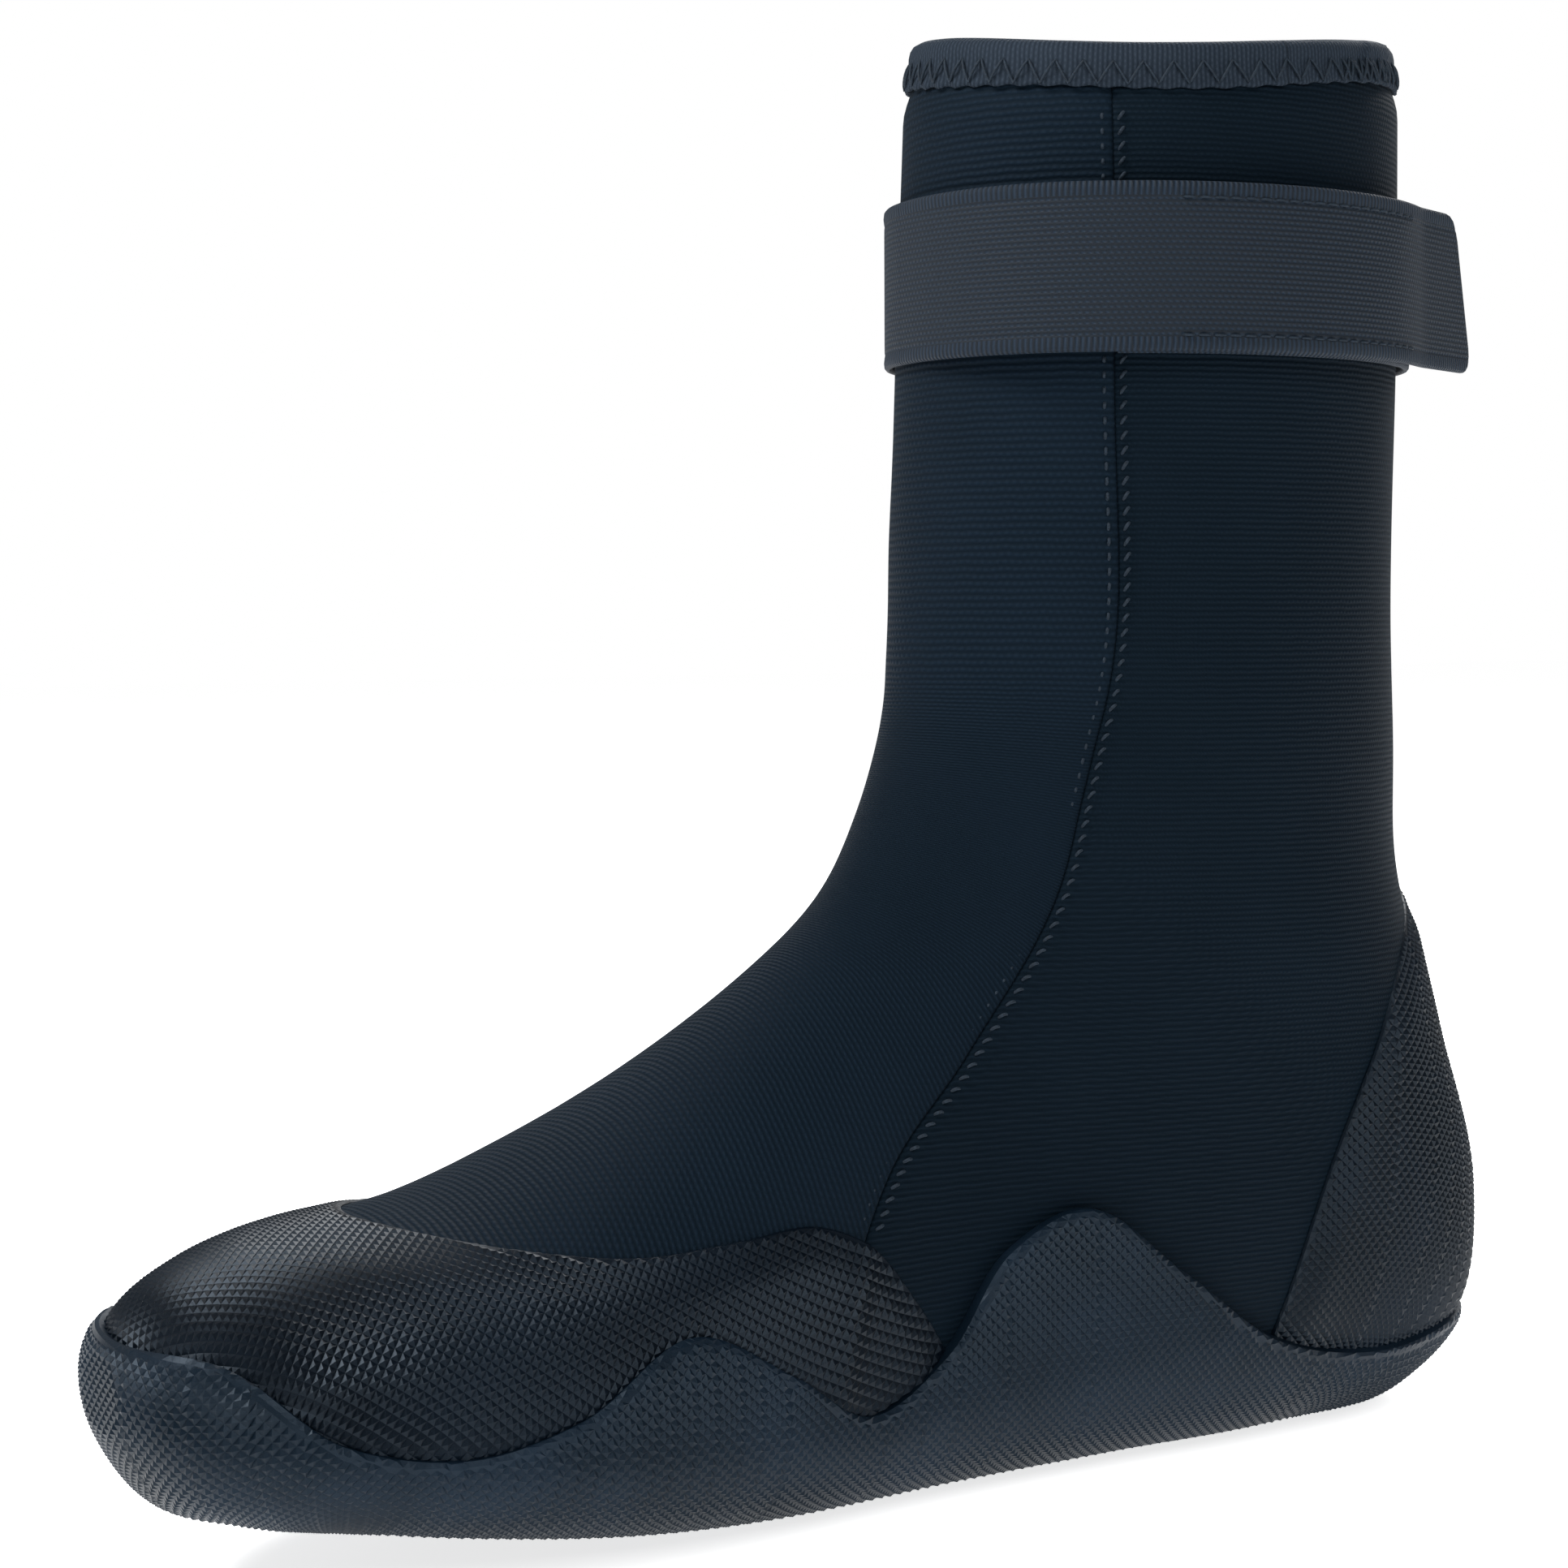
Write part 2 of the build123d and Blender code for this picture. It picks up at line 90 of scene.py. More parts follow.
# Lines of the side view, as (y, z) points.
SEAM_LINE = [(-32.5, 280), (-33, 205), (-34, 140), (-42, 107), (-60, 81), (-78, 62)]
SEAM_LINE += [(-89, 43), (-94, 26), (-97, 0)]
SOLE_SEAM = [(-220, 39), (-203, 32), (-176, 23), (-127, 15), (-61, 13.5), (16, 13.5)]
SOLE_SEAM += [(50, 15.5), (80, 25)]
CAP_LINE = [(-190, 65), (-170, 61.8), (-150, 57.6), (-130, 54.8), (-110, 55.2)]
CAP_LINE += [(-94, 55.4), (-85, 51.5), (-75, 39.5), (-66, 24), (-58, 5)]
HEEL_LINE = [(90, 116), (58, 111), (36, 97), (22, 74), (12, 52), (5, 28), (1, 5)]
RIM_LINE = [(-225, 43), (-203, 45.3), (-186, 32), (-166, 27.3), (-147, 31), (-124, 41.8)]
RIM_LINE += [(-104, 32), (-87, 22.3), (-71, 30), (-56, 47), (-41, 53), (-20, 39.5)]
RIM_LINE += [(3, 23.5), (30, 16.8), (60, 18), (90, 24)]


def hermite(knots, rows, at):
    """Smooth curve through rows at the given knots, read at the values in at."""
    slope = np.diff(rows, axis=0) / np.diff(knots)[:, None]
    gap = np.diff(knots)[:, None]
    tangent = np.empty_like(rows)
    tangent[0], tangent[-1] = slope[0], slope[-1]
    weighted = slope[:-1] * gap[1:] + slope[1:] * gap[:-1]
    tangent[1:-1] = weighted / (gap[1:] + gap[:-1])
    i = np.clip(np.searchsorted(knots, at, side="right") - 1, 0, len(knots) - 2)
    h = (knots[i + 1] - knots[i])[:, None]
    t = (at - knots[i])[:, None] / h
    start = (2 * t**3 - 3 * t**2 + 1) * rows[i] + (t**3 - 2 * t**2 + t) * h * tangent[i]
    end = (3 * t**2 - 2 * t**3) * rows[i + 1] + (t**3 - t**2) * h * tangent[i + 1]
    return start + end


def knots_of(rows, pairs):
    """Running length along several (y, z) tracks of a table, averaged."""
    steps = [np.hypot(np.diff(rows[:, a]), np.diff(rows[:, b])) for a, b in pairs]
    return np.concatenate([[0.0], np.cumsum(np.mean(steps, axis=0))])


STATION_KNOTS = knots_of(STATIONS, [(0, 1), (2, 3)])
U_END = STATION_KNOTS[-1]


def smooth_line(points, count=500):
    """A dense polyline through a line's points."""
    rows = np.array(points, float)
    knots = knots_of(rows, [(0, 1)])
    return hermite(knots, rows, np.linspace(0, knots[-1], count))


def smoothstep(low, high, value):
    """A smooth step from 0 at low to 1 at high, or the other way round if low is higher."""
    t = np.clip((value - low) / (high - low), 0, 1)
    return t * t * (3 - 2 * t)


def rim_rise(theta):
    """How far the collar's soft edge stands above a flat ring, in millimetres."""
    turn = np.radians(theta - 121)
    tilt = 0.85 * np.sin(np.radians(theta))
    return 1.3 * np.cos(turn) + 2.4 * np.cos(2 * turn) - 2.0 - tilt


def surface(u, theta, grow=0.0, sole=False):
    """Points of the boot's surface. u runs from toe to collar in millimetres, and theta
    round a section: 0 inner side, 90 front, 180 outer side, 270 back or underneath."""
    u, theta, grow = np.broadcast_arrays(u, theta, grow)
    shape = u.shape
    u, theta, grow = u.ravel(), theta.ravel(), grow.ravel()
    section = hermite(STATION_KNOTS, STATIONS, u).T
    front_y, front_z, back_y, back_z, ridge, medial, lateral, widest, corner, under = section
    lead = np.maximum(0, (TOE_ROUND_START - front_y) / TOE_ROUND_LENGTH) * grow
    rise_y, rise_z = front_y - back_y, front_z - back_z
    height = np.hypot(rise_y, rise_z)
    across, along = np.cos(np.radians(theta)), np.sin(np.radians(theta))
    upper = along >= 0
    power = np.where(upper, 1.0, 2 / corner)
    width = np.where(across >= 0, medial, lateral) + grow
    below = under + grow - SOLE_GROW if sole else grow
    reach = np.where(upper, height * (1 - widest) + grow, height * widest + below)
    x = ridge + width * np.sign(across) * np.abs(across) ** power
    v = height * widest + reach * np.sign(along) * np.abs(along) ** power
    y = back_y + rise_y / height * v - lead
    z = back_z + rise_z / height * v
    z = z + rim_rise(theta) * smoothstep(U_END - RIM_BLEND, U_END, u)
    return np.stack([x, y, z], -1).reshape(shape + (3,))


def height_above(line, p):
    """Distance of points above a line of the side view, measured across the line."""
    path = smooth_line(line)
    z = np.interp(p[..., 1], path[:, 0], path[:, 1])
    slope = np.interp(p[..., 1], path[:, 0], np.gradient(path[:, 1], path[:, 0]))
    return (p[..., 2] - z) / np.hypot(1, slope)


def depth_behind(line, p):
    """Distance of points behind a line of the side view (towards the heel)."""
    path = smooth_line(line)[::-1]
    y = np.interp(p[..., 2], path[:, 1], path[:, 0])
    slope = np.interp(p[..., 2], path[:, 1], np.gradient(path[:, 0], path[:, 1]))
    return (p[..., 1] - y) / np.hypot(1, slope)


def rounded_edge(distance, radius):
    """How far a surface drops beside an edge that is rounded over."""
    t = np.clip(1 - distance / radius, 0, 1)
    return radius * (1 - np.sqrt(1 - t * t))


def running_length(points):
    """Length along a polyline at each of its points."""
    return np.concatenate([[0.0], np.cumsum(np.linalg.norm(np.diff(points, axis=0), axis=1))])


# ------------------------ meshes
def grid_faces(rows, columns, wrap=False):
    """Quads of a grid whose points are listed row by row."""
    i, j = np.meshgrid(np.arange(rows - 1), np.arange(columns - (not wrap)), indexing="ij")
    k = (j + 1) % columns
    corners = [i * columns + j, (i + 1) * columns + j, (i + 1) * columns + k, i * columns + k]
    return np.stack(corners, -1).reshape(-1, 4).tolist()


def diamond_faces(rows, columns, wrap=False):
    """Triangles of a lattice, each quad split between its two odd corners."""
    faces = []
    for a, b, c, d in grid_faces(rows, columns, wrap):
        i, j = divmod(a, columns)
        if (i + j) % 2 == 0:
            faces += [[a, b, d], [b, c, d]]
        else:
            faces += [[a, b, c], [a, c, d]]
    return faces


def grid_normals(points, wrap=False):
    """Normals of a grid of points, on the side that its quads face."""
    up = np.gradient(points, axis=0)
    if wrap:
        across = np.roll(points, -1, axis=1) - np.roll(points, 1, axis=1)
    else:
        across = np.gradient(points, axis=1)
    normal = np.cross(up, across)
    return normal / np.maximum(np.linalg.norm(normal, axis=-1, keepdims=True), 1e-9)


def cut_faces(values, data, faces, both=False):
    """Cuts polygons along values = 0 and drops what is below, or keeps both sides.
    data has a row for each point, and a new point on the cut is in line between two."""
    inside = values >= 0
    new_rows, made, kept = [], {}, []
    for face in faces:
        flags = inside[face]
        if flags.all():
            kept.append(face)
            continue
        if not flags.any():
            if both:
                kept.append(face)
            continue
        upper, lower = [], []
        for a, b in zip(face, face[1:] + face[:1]):
            (upper if inside[a] else lower).append(a)
            if inside[a] != inside[b]:
                key = (min(a, b), max(a, b))
                if key not in made:
                    share = values[a] / (values[a] - values[b])
                    made[key] = len(data) + len(new_rows)
                    new_rows.append(data[a] + share * (data[b] - data[a]))
                upper.append(made[key])
                lower.append(made[key])
        if len(upper) > 2:
            kept.append(upper)
        if both and len(lower) > 2:
            kept.append(lower)
    if new_rows:
        data = np.vstack([data, np.array(new_rows)])
    used = np.zeros(len(data), bool)
    for face in kept:
        used[face] = True
    place = np.cumsum(used) - 1
    return data[used], [place[face].tolist() for face in kept]


def free_edges(faces):
    """Edges that only one face uses, in that face's direction."""
    seen = {}
    for face in faces:
        for a, b in zip(face, face[1:] + face[:1]):
            key = (min(a, b), max(a, b))
            seen[key] = None if key in seen else (a, b)
    return [edge for edge in seen.values() if edge]


def shell(outer, inner, faces):
    """A closed shell between two surfaces that have the same faces."""
    count = len(outer)
    lining = [[v + count for v in reversed(face)] for face in faces]
    walls = [[b, a, a + count, b + count] for a, b in free_edges(faces)]
    return np.vstack([outer, inner]), faces + lining + walls


def lipped(outer, inner, faces):
    """A surface with a wall from its free edges down to the inner points."""
    edges = free_edges(faces)
    rim = sorted({v for edge in edges for v in edge})
    place = {v: len(outer) + i for i, v in enumerate(rim)}
    walls = [[b, a, place[a], place[b]] for a, b in edges]
    return np.vstack([outer, inner[rim]]), faces + walls


def piece(name, points, faces, material, smooth=True, uv=None):
    """A mesh object from points in millimetres, with one (u, v) for each point."""
    mesh = bpy.data.meshes.new(name)
    mesh.from_pydata((np.asarray(points) * MM).tolist(), [], faces)
    mesh.validate()
    mesh.polygons.foreach_set("use_smooth", np.full(len(mesh.polygons), smooth))
    if uv is not None:
        layer = mesh.uv_layers.new(name="UVMap")
        index = np.empty(len(mesh.loops), int)
        mesh.loops.foreach_get("vertex_index", index)
        layer.data.foreach_set("uv", np.asarray(uv)[index].astype(np.float32).ravel())
    mesh.update()
    obj = bpy.data.objects.new(name, mesh)
    bpy.context.scene.collection.objects.link(obj)
    obj.data.materials.append(material)
    return obj


FORM_GRID = 320, 180


def form_tree(grow, sole=False):
    """The boot's surface as a closed form to send rays at."""
    rows, columns = FORM_GRID
    u = np.linspace(0, U_END, rows)[:, None]
    theta = np.linspace(0, 360, columns, endpoint=False)[None, :]
    points = surface(u, theta, grow, sole).reshape(-1, 3)
    faces = grid_faces(rows, columns, wrap=True)
    faces.append(list(range(columns)))
    return BVHTree.FromPolygons(points.tolist(), faces)


# ------------------------ materials
def shader(name):
    """A new material, its node tree and its principled shader."""
    material = bpy.data.materials.new(name)
    material.use_nodes = True
    tree = material.node_tree
    return material, tree, tree.nodes["Principled BSDF"]


def node(tree, kind, inputs=(), **settings):
    """Adds a node. inputs are (socket, value or output) pairs."""
    made = tree.nodes.new(kind)
    for key, value in settings.items():
        setattr(made, key, value)
    for socket, value in inputs:
        if isinstance(value, bpy.types.NodeSocket):
            tree.links.new(value, made.inputs[socket])
        else:
            made.inputs[socket].default_value = value
    return made


def math(tree, operation, a, b=0.0, c=0.0):
    """A maths node's result. MULTIPLY_ADD is a times b, plus c."""
    inputs = [(0, a), (1, b), (2, c)]
    return node(tree, "ShaderNodeMath", inputs, operation=operation).outputs[0]


def srgb(r, g, b):
    """Linear colour from 8-bit values."""
    c = np.array([r, g, b]) / 255
    linear = np.where(c <= 0.04045, c / 12.92, ((c + 0.055) / 1.055) ** 2.4)
    return (*linear.tolist(), 1.0)


def mix(tree, share, low, high):
    """Colour between two colours, by a share."""
    inputs = [(0, share), (6, low), (7, high)]
    return node(tree, "ShaderNodeMix", inputs, data_type="RGBA").outputs[2]


def noise(tree, vector, scale, detail=3.0, roughness=0.55):
    inputs = [("Vector", vector), ("Scale", scale), ("Detail", detail), ("Roughness", roughness)]
    return node(tree, "ShaderNodeTexNoise", inputs).outputs[0]


def bump(tree, height, strength, distance):
    inputs = [("Height", height), ("Strength", strength), ("Distance", distance)]
    return node(tree, "ShaderNodeBump", inputs).outputs[0]


def wave(tree, value, period):
    """A sine of a length in millimetres, from 0 to 1."""
    turn = math(tree, "SINE", math(tree, "MULTIPLY", value, 2 * pi / period))
    return math(tree, "MULTIPLY_ADD", turn, 0.5, 0.5)


def object_place(tree):
    return node(tree, "ShaderNodeTexCoord").outputs["Object"]


def map_lengths(tree):
    """The two lengths in millimetres of the UV map."""
    found = node(tree, "ShaderNodeTexCoord").outputs["UV"]
    split = node(tree, "ShaderNodeSeparateXYZ", [(0, found)])
    return split.outputs[0], split.outputs[1]


def spread(tree, value, low, high):
    """A value's part between low and high, as 0 to 1."""
    inputs = [("Value", value), ("From Min", low), ("From Max", high)]
    return node(tree, "ShaderNodeMapRange", inputs).outputs[0]


def dress(tree, look, colour, roughness, normal, plain):
    """Links what varies over a surface to its shader, and sets the plain values."""
    for socket, output in (("Base Color", colour), ("Roughness", roughness), ("Normal", normal)):
        tree.links.new(output, look.inputs[socket])
    for socket, value in plain.items():
        look.inputs[socket].default_value = value


def knit(name, dark, light, row, column, depth, rough):
    """Jersey knit laminated to foam: rows of small loops, a row and a column apart."""
    material, tree, look = shader(name)
    place = object_place(tree)
    u, v = map_lengths(tree)
    v = math(tree, "MULTIPLY_ADD", noise(tree, place, 260.0, 2.0), row * 0.4, v)
    row_number = math(tree, "FLOOR", math(tree, "DIVIDE", v, row))
    loops = wave(tree, math(tree, "MULTIPLY_ADD", row_number, column / 2, u), column)
    yarn = math(tree, "MULTIPLY", wave(tree, v, row), math(tree, "MULTIPLY_ADD", loops, 0.45, 0.5))
    fuzz = noise(tree, place, 2600.0, 3.0, 0.7)
    patches = noise(tree, place, 28.0, 4.0)
    shade = math(tree, "MULTIPLY_ADD", yarn, 0.6, math(tree, "MULTIPLY", patches, 0.4))
    height = math(tree, "MULTIPLY_ADD", fuzz, 0.35, yarn)
    plain = {
        "Sheen Weight": 0.02,
        "Sheen Roughness": 0.45,
        "Sheen Tint": srgb(150, 165, 180),
        "Specular IOR Level": 0.08,
        "Specular Tint": srgb(190, 220, 250),
    }
    roughness = math(tree, "MULTIPLY_ADD", fuzz, 0.12, rough)
    colour = mix(tree, shade, dark, light)
    dress(tree, look, colour, roughness, bump(tree, height, 0.75, depth), plain)
    return material


def rubber(name, dark, light, rough):
    """Moulded rubber with a faint grain and slow patches."""
    material, tree, look = shader(name)
    place = object_place(tree)
    grain = noise(tree, place, 1800.0, 4.0, 0.6)
    patches = noise(tree, place, 35.0, 4.0)
    shade = math(tree, "MULTIPLY", spread(tree, patches, 0.35, 0.7), 0.7)
    shade = math(tree, "MULTIPLY_ADD", grain, 0.3, shade)
    roughness = math(tree, "MULTIPLY_ADD", patches, 0.15, rough - 0.07)
    plain = {"Specular IOR Level": 0.18, "Specular Tint": srgb(205, 228, 250)}
    colour = mix(tree, shade, dark, light)
    dress(tree, look, colour, roughness, bump(tree, grain, 0.35, 0.00012), plain)
    return material


def webbing_material(name, dark, light):
    """Close plain-woven webbing with ribbed selvedges."""
    material, tree, look = shader(name)
    u, v = map_lengths(tree)
    line = math(tree, "FLOOR", math(tree, "DIVIDE", v, WARP_PITCH))
    along = wave(tree, math(tree, "MULTIPLY_ADD", line, WEFT_PITCH / 2, u), WEFT_PITCH)
    raised = math(tree, "MULTIPLY_ADD", along, 0.8, 0.2)
    weave = math(tree, "MULTIPLY", wave(tree, v, WARP_PITCH), raised)
    from_middle = math(tree, "ABSOLUTE", math(tree, "SUBTRACT", v, STRAP_WIDTH / 2))
    selvedge = math(tree, "GREATER_THAN", from_middle, STRAP_WIDTH / 2 - SELVEDGE)
    inner = math(tree, "MULTIPLY", weave, math(tree, "SUBTRACT", 1.0, selvedge))
    height = math(tree, "MULTIPLY_ADD", wave(tree, u, RIB_PITCH), selvedge, inner)
    fuzz = noise(tree, object_place(tree), 2200.0, 3.0, 0.7)
    shade = math(tree, "MULTIPLY_ADD", height, 0.7, math(tree, "MULTIPLY", fuzz, 0.4))
    height = math(tree, "MULTIPLY_ADD", fuzz, 0.25, height)
    roughness = math(tree, "MULTIPLY_ADD", fuzz, 0.2, 0.6)
    plain = {
        "Sheen Weight": 0.03,
        "Sheen Tint": srgb(160, 170, 180),
        "Specular IOR Level": 0.2,
    }
    colour = mix(tree, shade, dark, light)
    dress(tree, look, colour, roughness, bump(tree, height, 0.8, 0.00035), plain)
    return material


def fibre(name, dark, light, scale, depth, rough):
    """A fibrous or pitted surface: thread, tape, pile, foam."""
    material, tree, look = shader(name)
    grain = noise(tree, object_place(tree), scale, 4.0, 0.65)
    colour = mix(tree, spread(tree, grain, 0.3, 0.7), dark, light)
    roughness = math(tree, "MULTIPLY_ADD", grain, 0.2, rough - 0.1)
    normal = bump(tree, grain, 0.8, depth)
    dress(tree, look, colour, roughness, normal, {"Specular IOR Level": 0.2})
    return material


STRAP_WIDTH = 30.0
WARP_PITCH, WEFT_PITCH, RIB_PITCH, SELVEDGE = 0.95, 1.2, 1.0, 2.6
NEOPRENE_KNIT = knit("neoprene_knit", srgb(2, 8, 14), srgb(15, 26, 37), 1.3, 1.5, 0.0003, 0.68)
REAR_KNIT = knit("rear_knit", srgb(0, 5, 10), srgb(11, 21, 30), 1.05, 1.25, 0.00025, 0.68)
BINDING_KNIT = knit("binding_knit", srgb(16, 22, 29), srgb(46, 54, 64), 0.9, 1.1, 0.0002, 0.7)
TOE_RUBBER = rubber("toe_rubber", srgb(0, 2, 6), srgb(5, 13, 22), 0.4)
HEEL_RUBBER = rubber("heel_rubber", srgb(0, 3, 7), srgb(5, 15, 26), 0.42)
SOLE_RUBBER = rubber("sole_rubber", srgb(1, 8, 16), srgb(15, 27, 39), 0.42)
WEBBING = webbing_material("webbing", srgb(0, 4, 9), srgb(20, 35, 50))
THREAD_LOOK = fibre("thread", srgb(6, 14, 22), srgb(27, 40, 52), 3000.0, 0.0001, 0.7)
TAPE_LOOK = fibre("seam_tape", srgb(20, 22, 25), srgb(36, 39, 43), 1500.0, 0.0001, 0.6)
FOAM_LOOK = fibre("insole_foam", srgb(36, 38, 41), srgb(58, 61, 64), 1200.0, 0.0003, 0.85)
LOOP_LOOK = fibre("loop_pile", srgb(18, 21, 25), srgb(48, 53, 60), 2400.0, 0.0006, 0.9)
HOOK_LOOK = fibre("hook_tape", srgb(18, 20, 23), srgb(40, 44, 49), 3000.0, 0.0005, 0.6)

# ------------------------ camera, light, floor
VIEW_TURN, VIEW_PITCH, VIEW_ROLL = radians(30.5), radians(3.3), radians(-0.3)
VIEW_DISTANCE = 550.0
target = np.array([0.0, -83.0, 161.0])
away = np.array([cos(VIEW_TURN), -sin(VIEW_TURN), 0.0])
forward = np.array([-away[0] * cos(VIEW_PITCH), -away[1] * cos(VIEW_PITCH), -sin(VIEW_PITCH)])
right = np.cross(forward, (0, 0, 1))
right /= np.linalg.norm(right)
up = np.cross(right, forward)
rolled_right = right * cos(VIEW_ROLL) + up * sin(VIEW_ROLL)
rolled_up = up * cos(VIEW_ROLL) - right * sin(VIEW_ROLL)
camera_data = bpy.data.cameras.new("camera")
camera_data.lens = 70.0
camera_data.sensor_width = 36.0
camera_data.clip_start = 0.01
camera = bpy.data.objects.new("camera", camera_data)
turn = Matrix([rolled_right, rolled_up, -forward]).transposed().to_4x4()
camera.matrix_world = Matrix.Translation(Vector((target + away * VIEW_DISTANCE) * MM)) @ turn
bpy.context.scene.collection.objects.link(camera)
bpy.context.scene.camera = camera


def area_light(name, position, size, power):
    """A soft square light aimed at the middle of the boot."""
    data = bpy.data.lights.new(name, "AREA")
    data.energy = power
    data.size = size
    light = bpy.data.objects.new(name, data)
    light.location = position
    aim = Vector((0, -0.05, 0.12)) - light.location
    light.rotation_euler = aim.to_track_quat("-Z", "Y").to_euler()
    bpy.context.scene.collection.objects.link(light)


area_light("key", (-0.2, -0.9, 1.2), 0.6, 24)
area_light("fill", (1.1, -0.3, 0.9), 0.7, 11)
area_light("rim", (-0.6, 0.7, 0.9), 0.8, 14)

# The camera sees a white studio, and the boot is lit by a dimmer one.
STUDIO_LIGHT, FLOOR_GLOW = 0.25, 0.75
world = bpy.data.worlds.new("studio")
world.use_nodes = True
background = world.node_tree.nodes["Background"]
background.inputs["Color"].default_value = (1, 1, 1, 1)
ray = world.node_tree.nodes.new("ShaderNodeLightPath")
level_of_light = world.node_tree.nodes.new("ShaderNodeMapRange")
level_of_light.inputs["To Min"].default_value = STUDIO_LIGHT
level_of_light.inputs["To Max"].default_value = 1.0
world.node_tree.links.new(ray.outputs["Is Camera Ray"], level_of_light.inputs["Value"])
world.node_tree.links.new(level_of_light.outputs[0], background.inputs["Strength"])
bpy.context.scene.world = world
bpy.context.scene.view_settings.view_transform = "Standard"

FLOOR_HALF, FLOOR_Z = 6.0, -0.0003
floor_mesh = bpy.data.meshes.new("floor")
floor_corners = [(-1, -1), (1, -1), (1, 1), (-1, 1)]
floor_corners = [(x * FLOOR_HALF, y * FLOOR_HALF, FLOOR_Z) for x, y in floor_corners]
floor_mesh.from_pydata(floor_corners, [], [(0, 1, 2, 3)])
floor = bpy.data.objects.new("floor", floor_mesh)
bpy.context.scene.collection.objects.link(floor)
floor_material, _, floor_look = shader("floor")
floor_look.inputs["Base Color"].default_value = (0.97, 0.97, 0.97, 1)
floor_look.inputs["Roughness"].default_value = 0.9
floor_look.inputs["Specular IOR Level"].default_value = 0.0
floor_look.inputs["Emission Color"].default_value = (1, 1, 1, 1)
floor_look.inputs["Emission Strength"].default_value = FLOOR_GLOW
floor.data.materials.append(floor_material)

# ------------------------ neoprene panels
COLLAR_DROP, PULLED_IN = 0.6, 2.2
SEAM_REACH, SEAM_PROBES = 175.0, 700
EDGE_STEPS = np.array([0.0, 0.25, 0.55, 0.95, 1.5, 2.4])
SEAM_EDGE = 1.3
PANEL_ROWS, FRONT_COLUMNS, BACK_COLUMNS = 230, 74, 96


def section_track(u, start, end, count=500):
    """Theta and running length along one section, between two angles."""
    theta = np.linspace(start, end, count)
    return theta, running_length(surface(np.full(count, u), theta))


def seam_angle(u, side):
    """Where a section meets the edge of the front panel, inner (1) or outer (-1) side."""
    theta = np.linspace(90, 90 - side * SEAM_REACH, SEAM_PROBES)
    points = surface(np.full(SEAM_PROBES, u), theta)
    front = np.minimum(-depth_behind(SEAM_LINE, points), height_above(SOLE_SEAM, points))
    crossed = np.nonzero(front < 0)[0]
    if len(crossed) == 0:
        return theta[-1]
    i = max(crossed[0], 1)
    share = front[i - 1] / (front[i - 1] - front[i])
    return theta[i - 1] + share * (theta[i] - theta[i - 1])


def panel_grid(u_values, columns, front):
    """Angles of a panel's points, closer together beside its two side seams."""
    rows = []
    for u in u_values:
        inner_edge, outer_edge = seam_angle(u, 1), seam_angle(u, -1)
        if not front:
            outer_edge -= 360
        theta, length = section_track(u, inner_edge, outer_edge)
        middle = np.linspace(EDGE_STEPS[-1], length[-1] - EDGE_STEPS[-1], columns)
        stops = np.concatenate([EDGE_STEPS[:-1], middle, (length[-1] - EDGE_STEPS[:-1])[::-1]])
        rows.append(np.interp(stops, length, theta))
    return np.array(rows)


def soft_waves(p):
    """Small lasting creases of worn foam, in millimetres, largest round the ankle."""
    ankle = np.exp(-(((p[..., 2] - 118) / 34) ** 2))
    front = np.exp(-(((p[..., 2] - 150) / 60) ** 2))
    bend = np.sin(p[..., 2] / 7.5 + p[..., 1] / 26 + np.sin(p[..., 0] / 19))
    slow = np.sin(p[..., 2] / 19 + 1.3) * np.sin(p[..., 0] / 17 + p[..., 1] / 31)
    return 0.35 * ankle * bend + 0.5 * front * slow


def squeeze(drop):
    """How far the binding pulls the foam in, at a distance below the collar's edge."""
    return PULLED_IN * smoothstep(13, 3, drop)


def panel(name, u_values, columns, front, material):
    """One neoprene panel: knit face, lining and cut edges."""
    theta = panel_grid(u_values, columns, front)
    u = np.broadcast_to(u_values[:, None], theta.shape)
    base = surface(u, theta)
    normal = grid_normals(base) * (1 if front else -1)
    seam = np.abs(depth_behind(SEAM_LINE, base))
    drop = rounded_edge(seam, SEAM_EDGE) * 0.5 + 0.3 * np.exp(-((seam / 3.2) ** 2))
    top = U_END - u
    drop = drop + rounded_edge(top, 1.5) + squeeze(top)
    outer = base + normal * (soft_waves(base) - drop)[..., None]
    inner = surface(u, theta, -NEOPRENE)
    across = np.linalg.norm(np.diff(base, axis=1), axis=2)
    along = np.concatenate([np.zeros((len(u_values), 1)), np.cumsum(across, axis=1)], axis=1)
    along = along - along[:, along.shape[1] // 2][:, None]
    instep = smoothstep(150, 95, base[..., 2]) * (1 if front else 0)
    knit_row = base[..., 2] * (1 - instep) + (u - U_END + 262) * instep
    data = np.concatenate([outer, inner, along[..., None], knit_row[..., None]], axis=-1)
    data = data.reshape(-1, 8)
    faces = grid_faces(*theta.shape)
    if not front:
        faces = [face[::-1] for face in faces]
    above = height_above(SOLE_SEAM, base).reshape(-1) - 0.1
    data, faces = cut_faces(above, data, faces)
    points, faces = shell(data[:, :3], data[:, 3:6], faces)
    uv = np.vstack([data[:, 6:8], data[:, 6:8]])
    made = piece(name + "_foam", points, faces, material, uv=uv)
    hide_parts(name)
    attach(made, "boot")


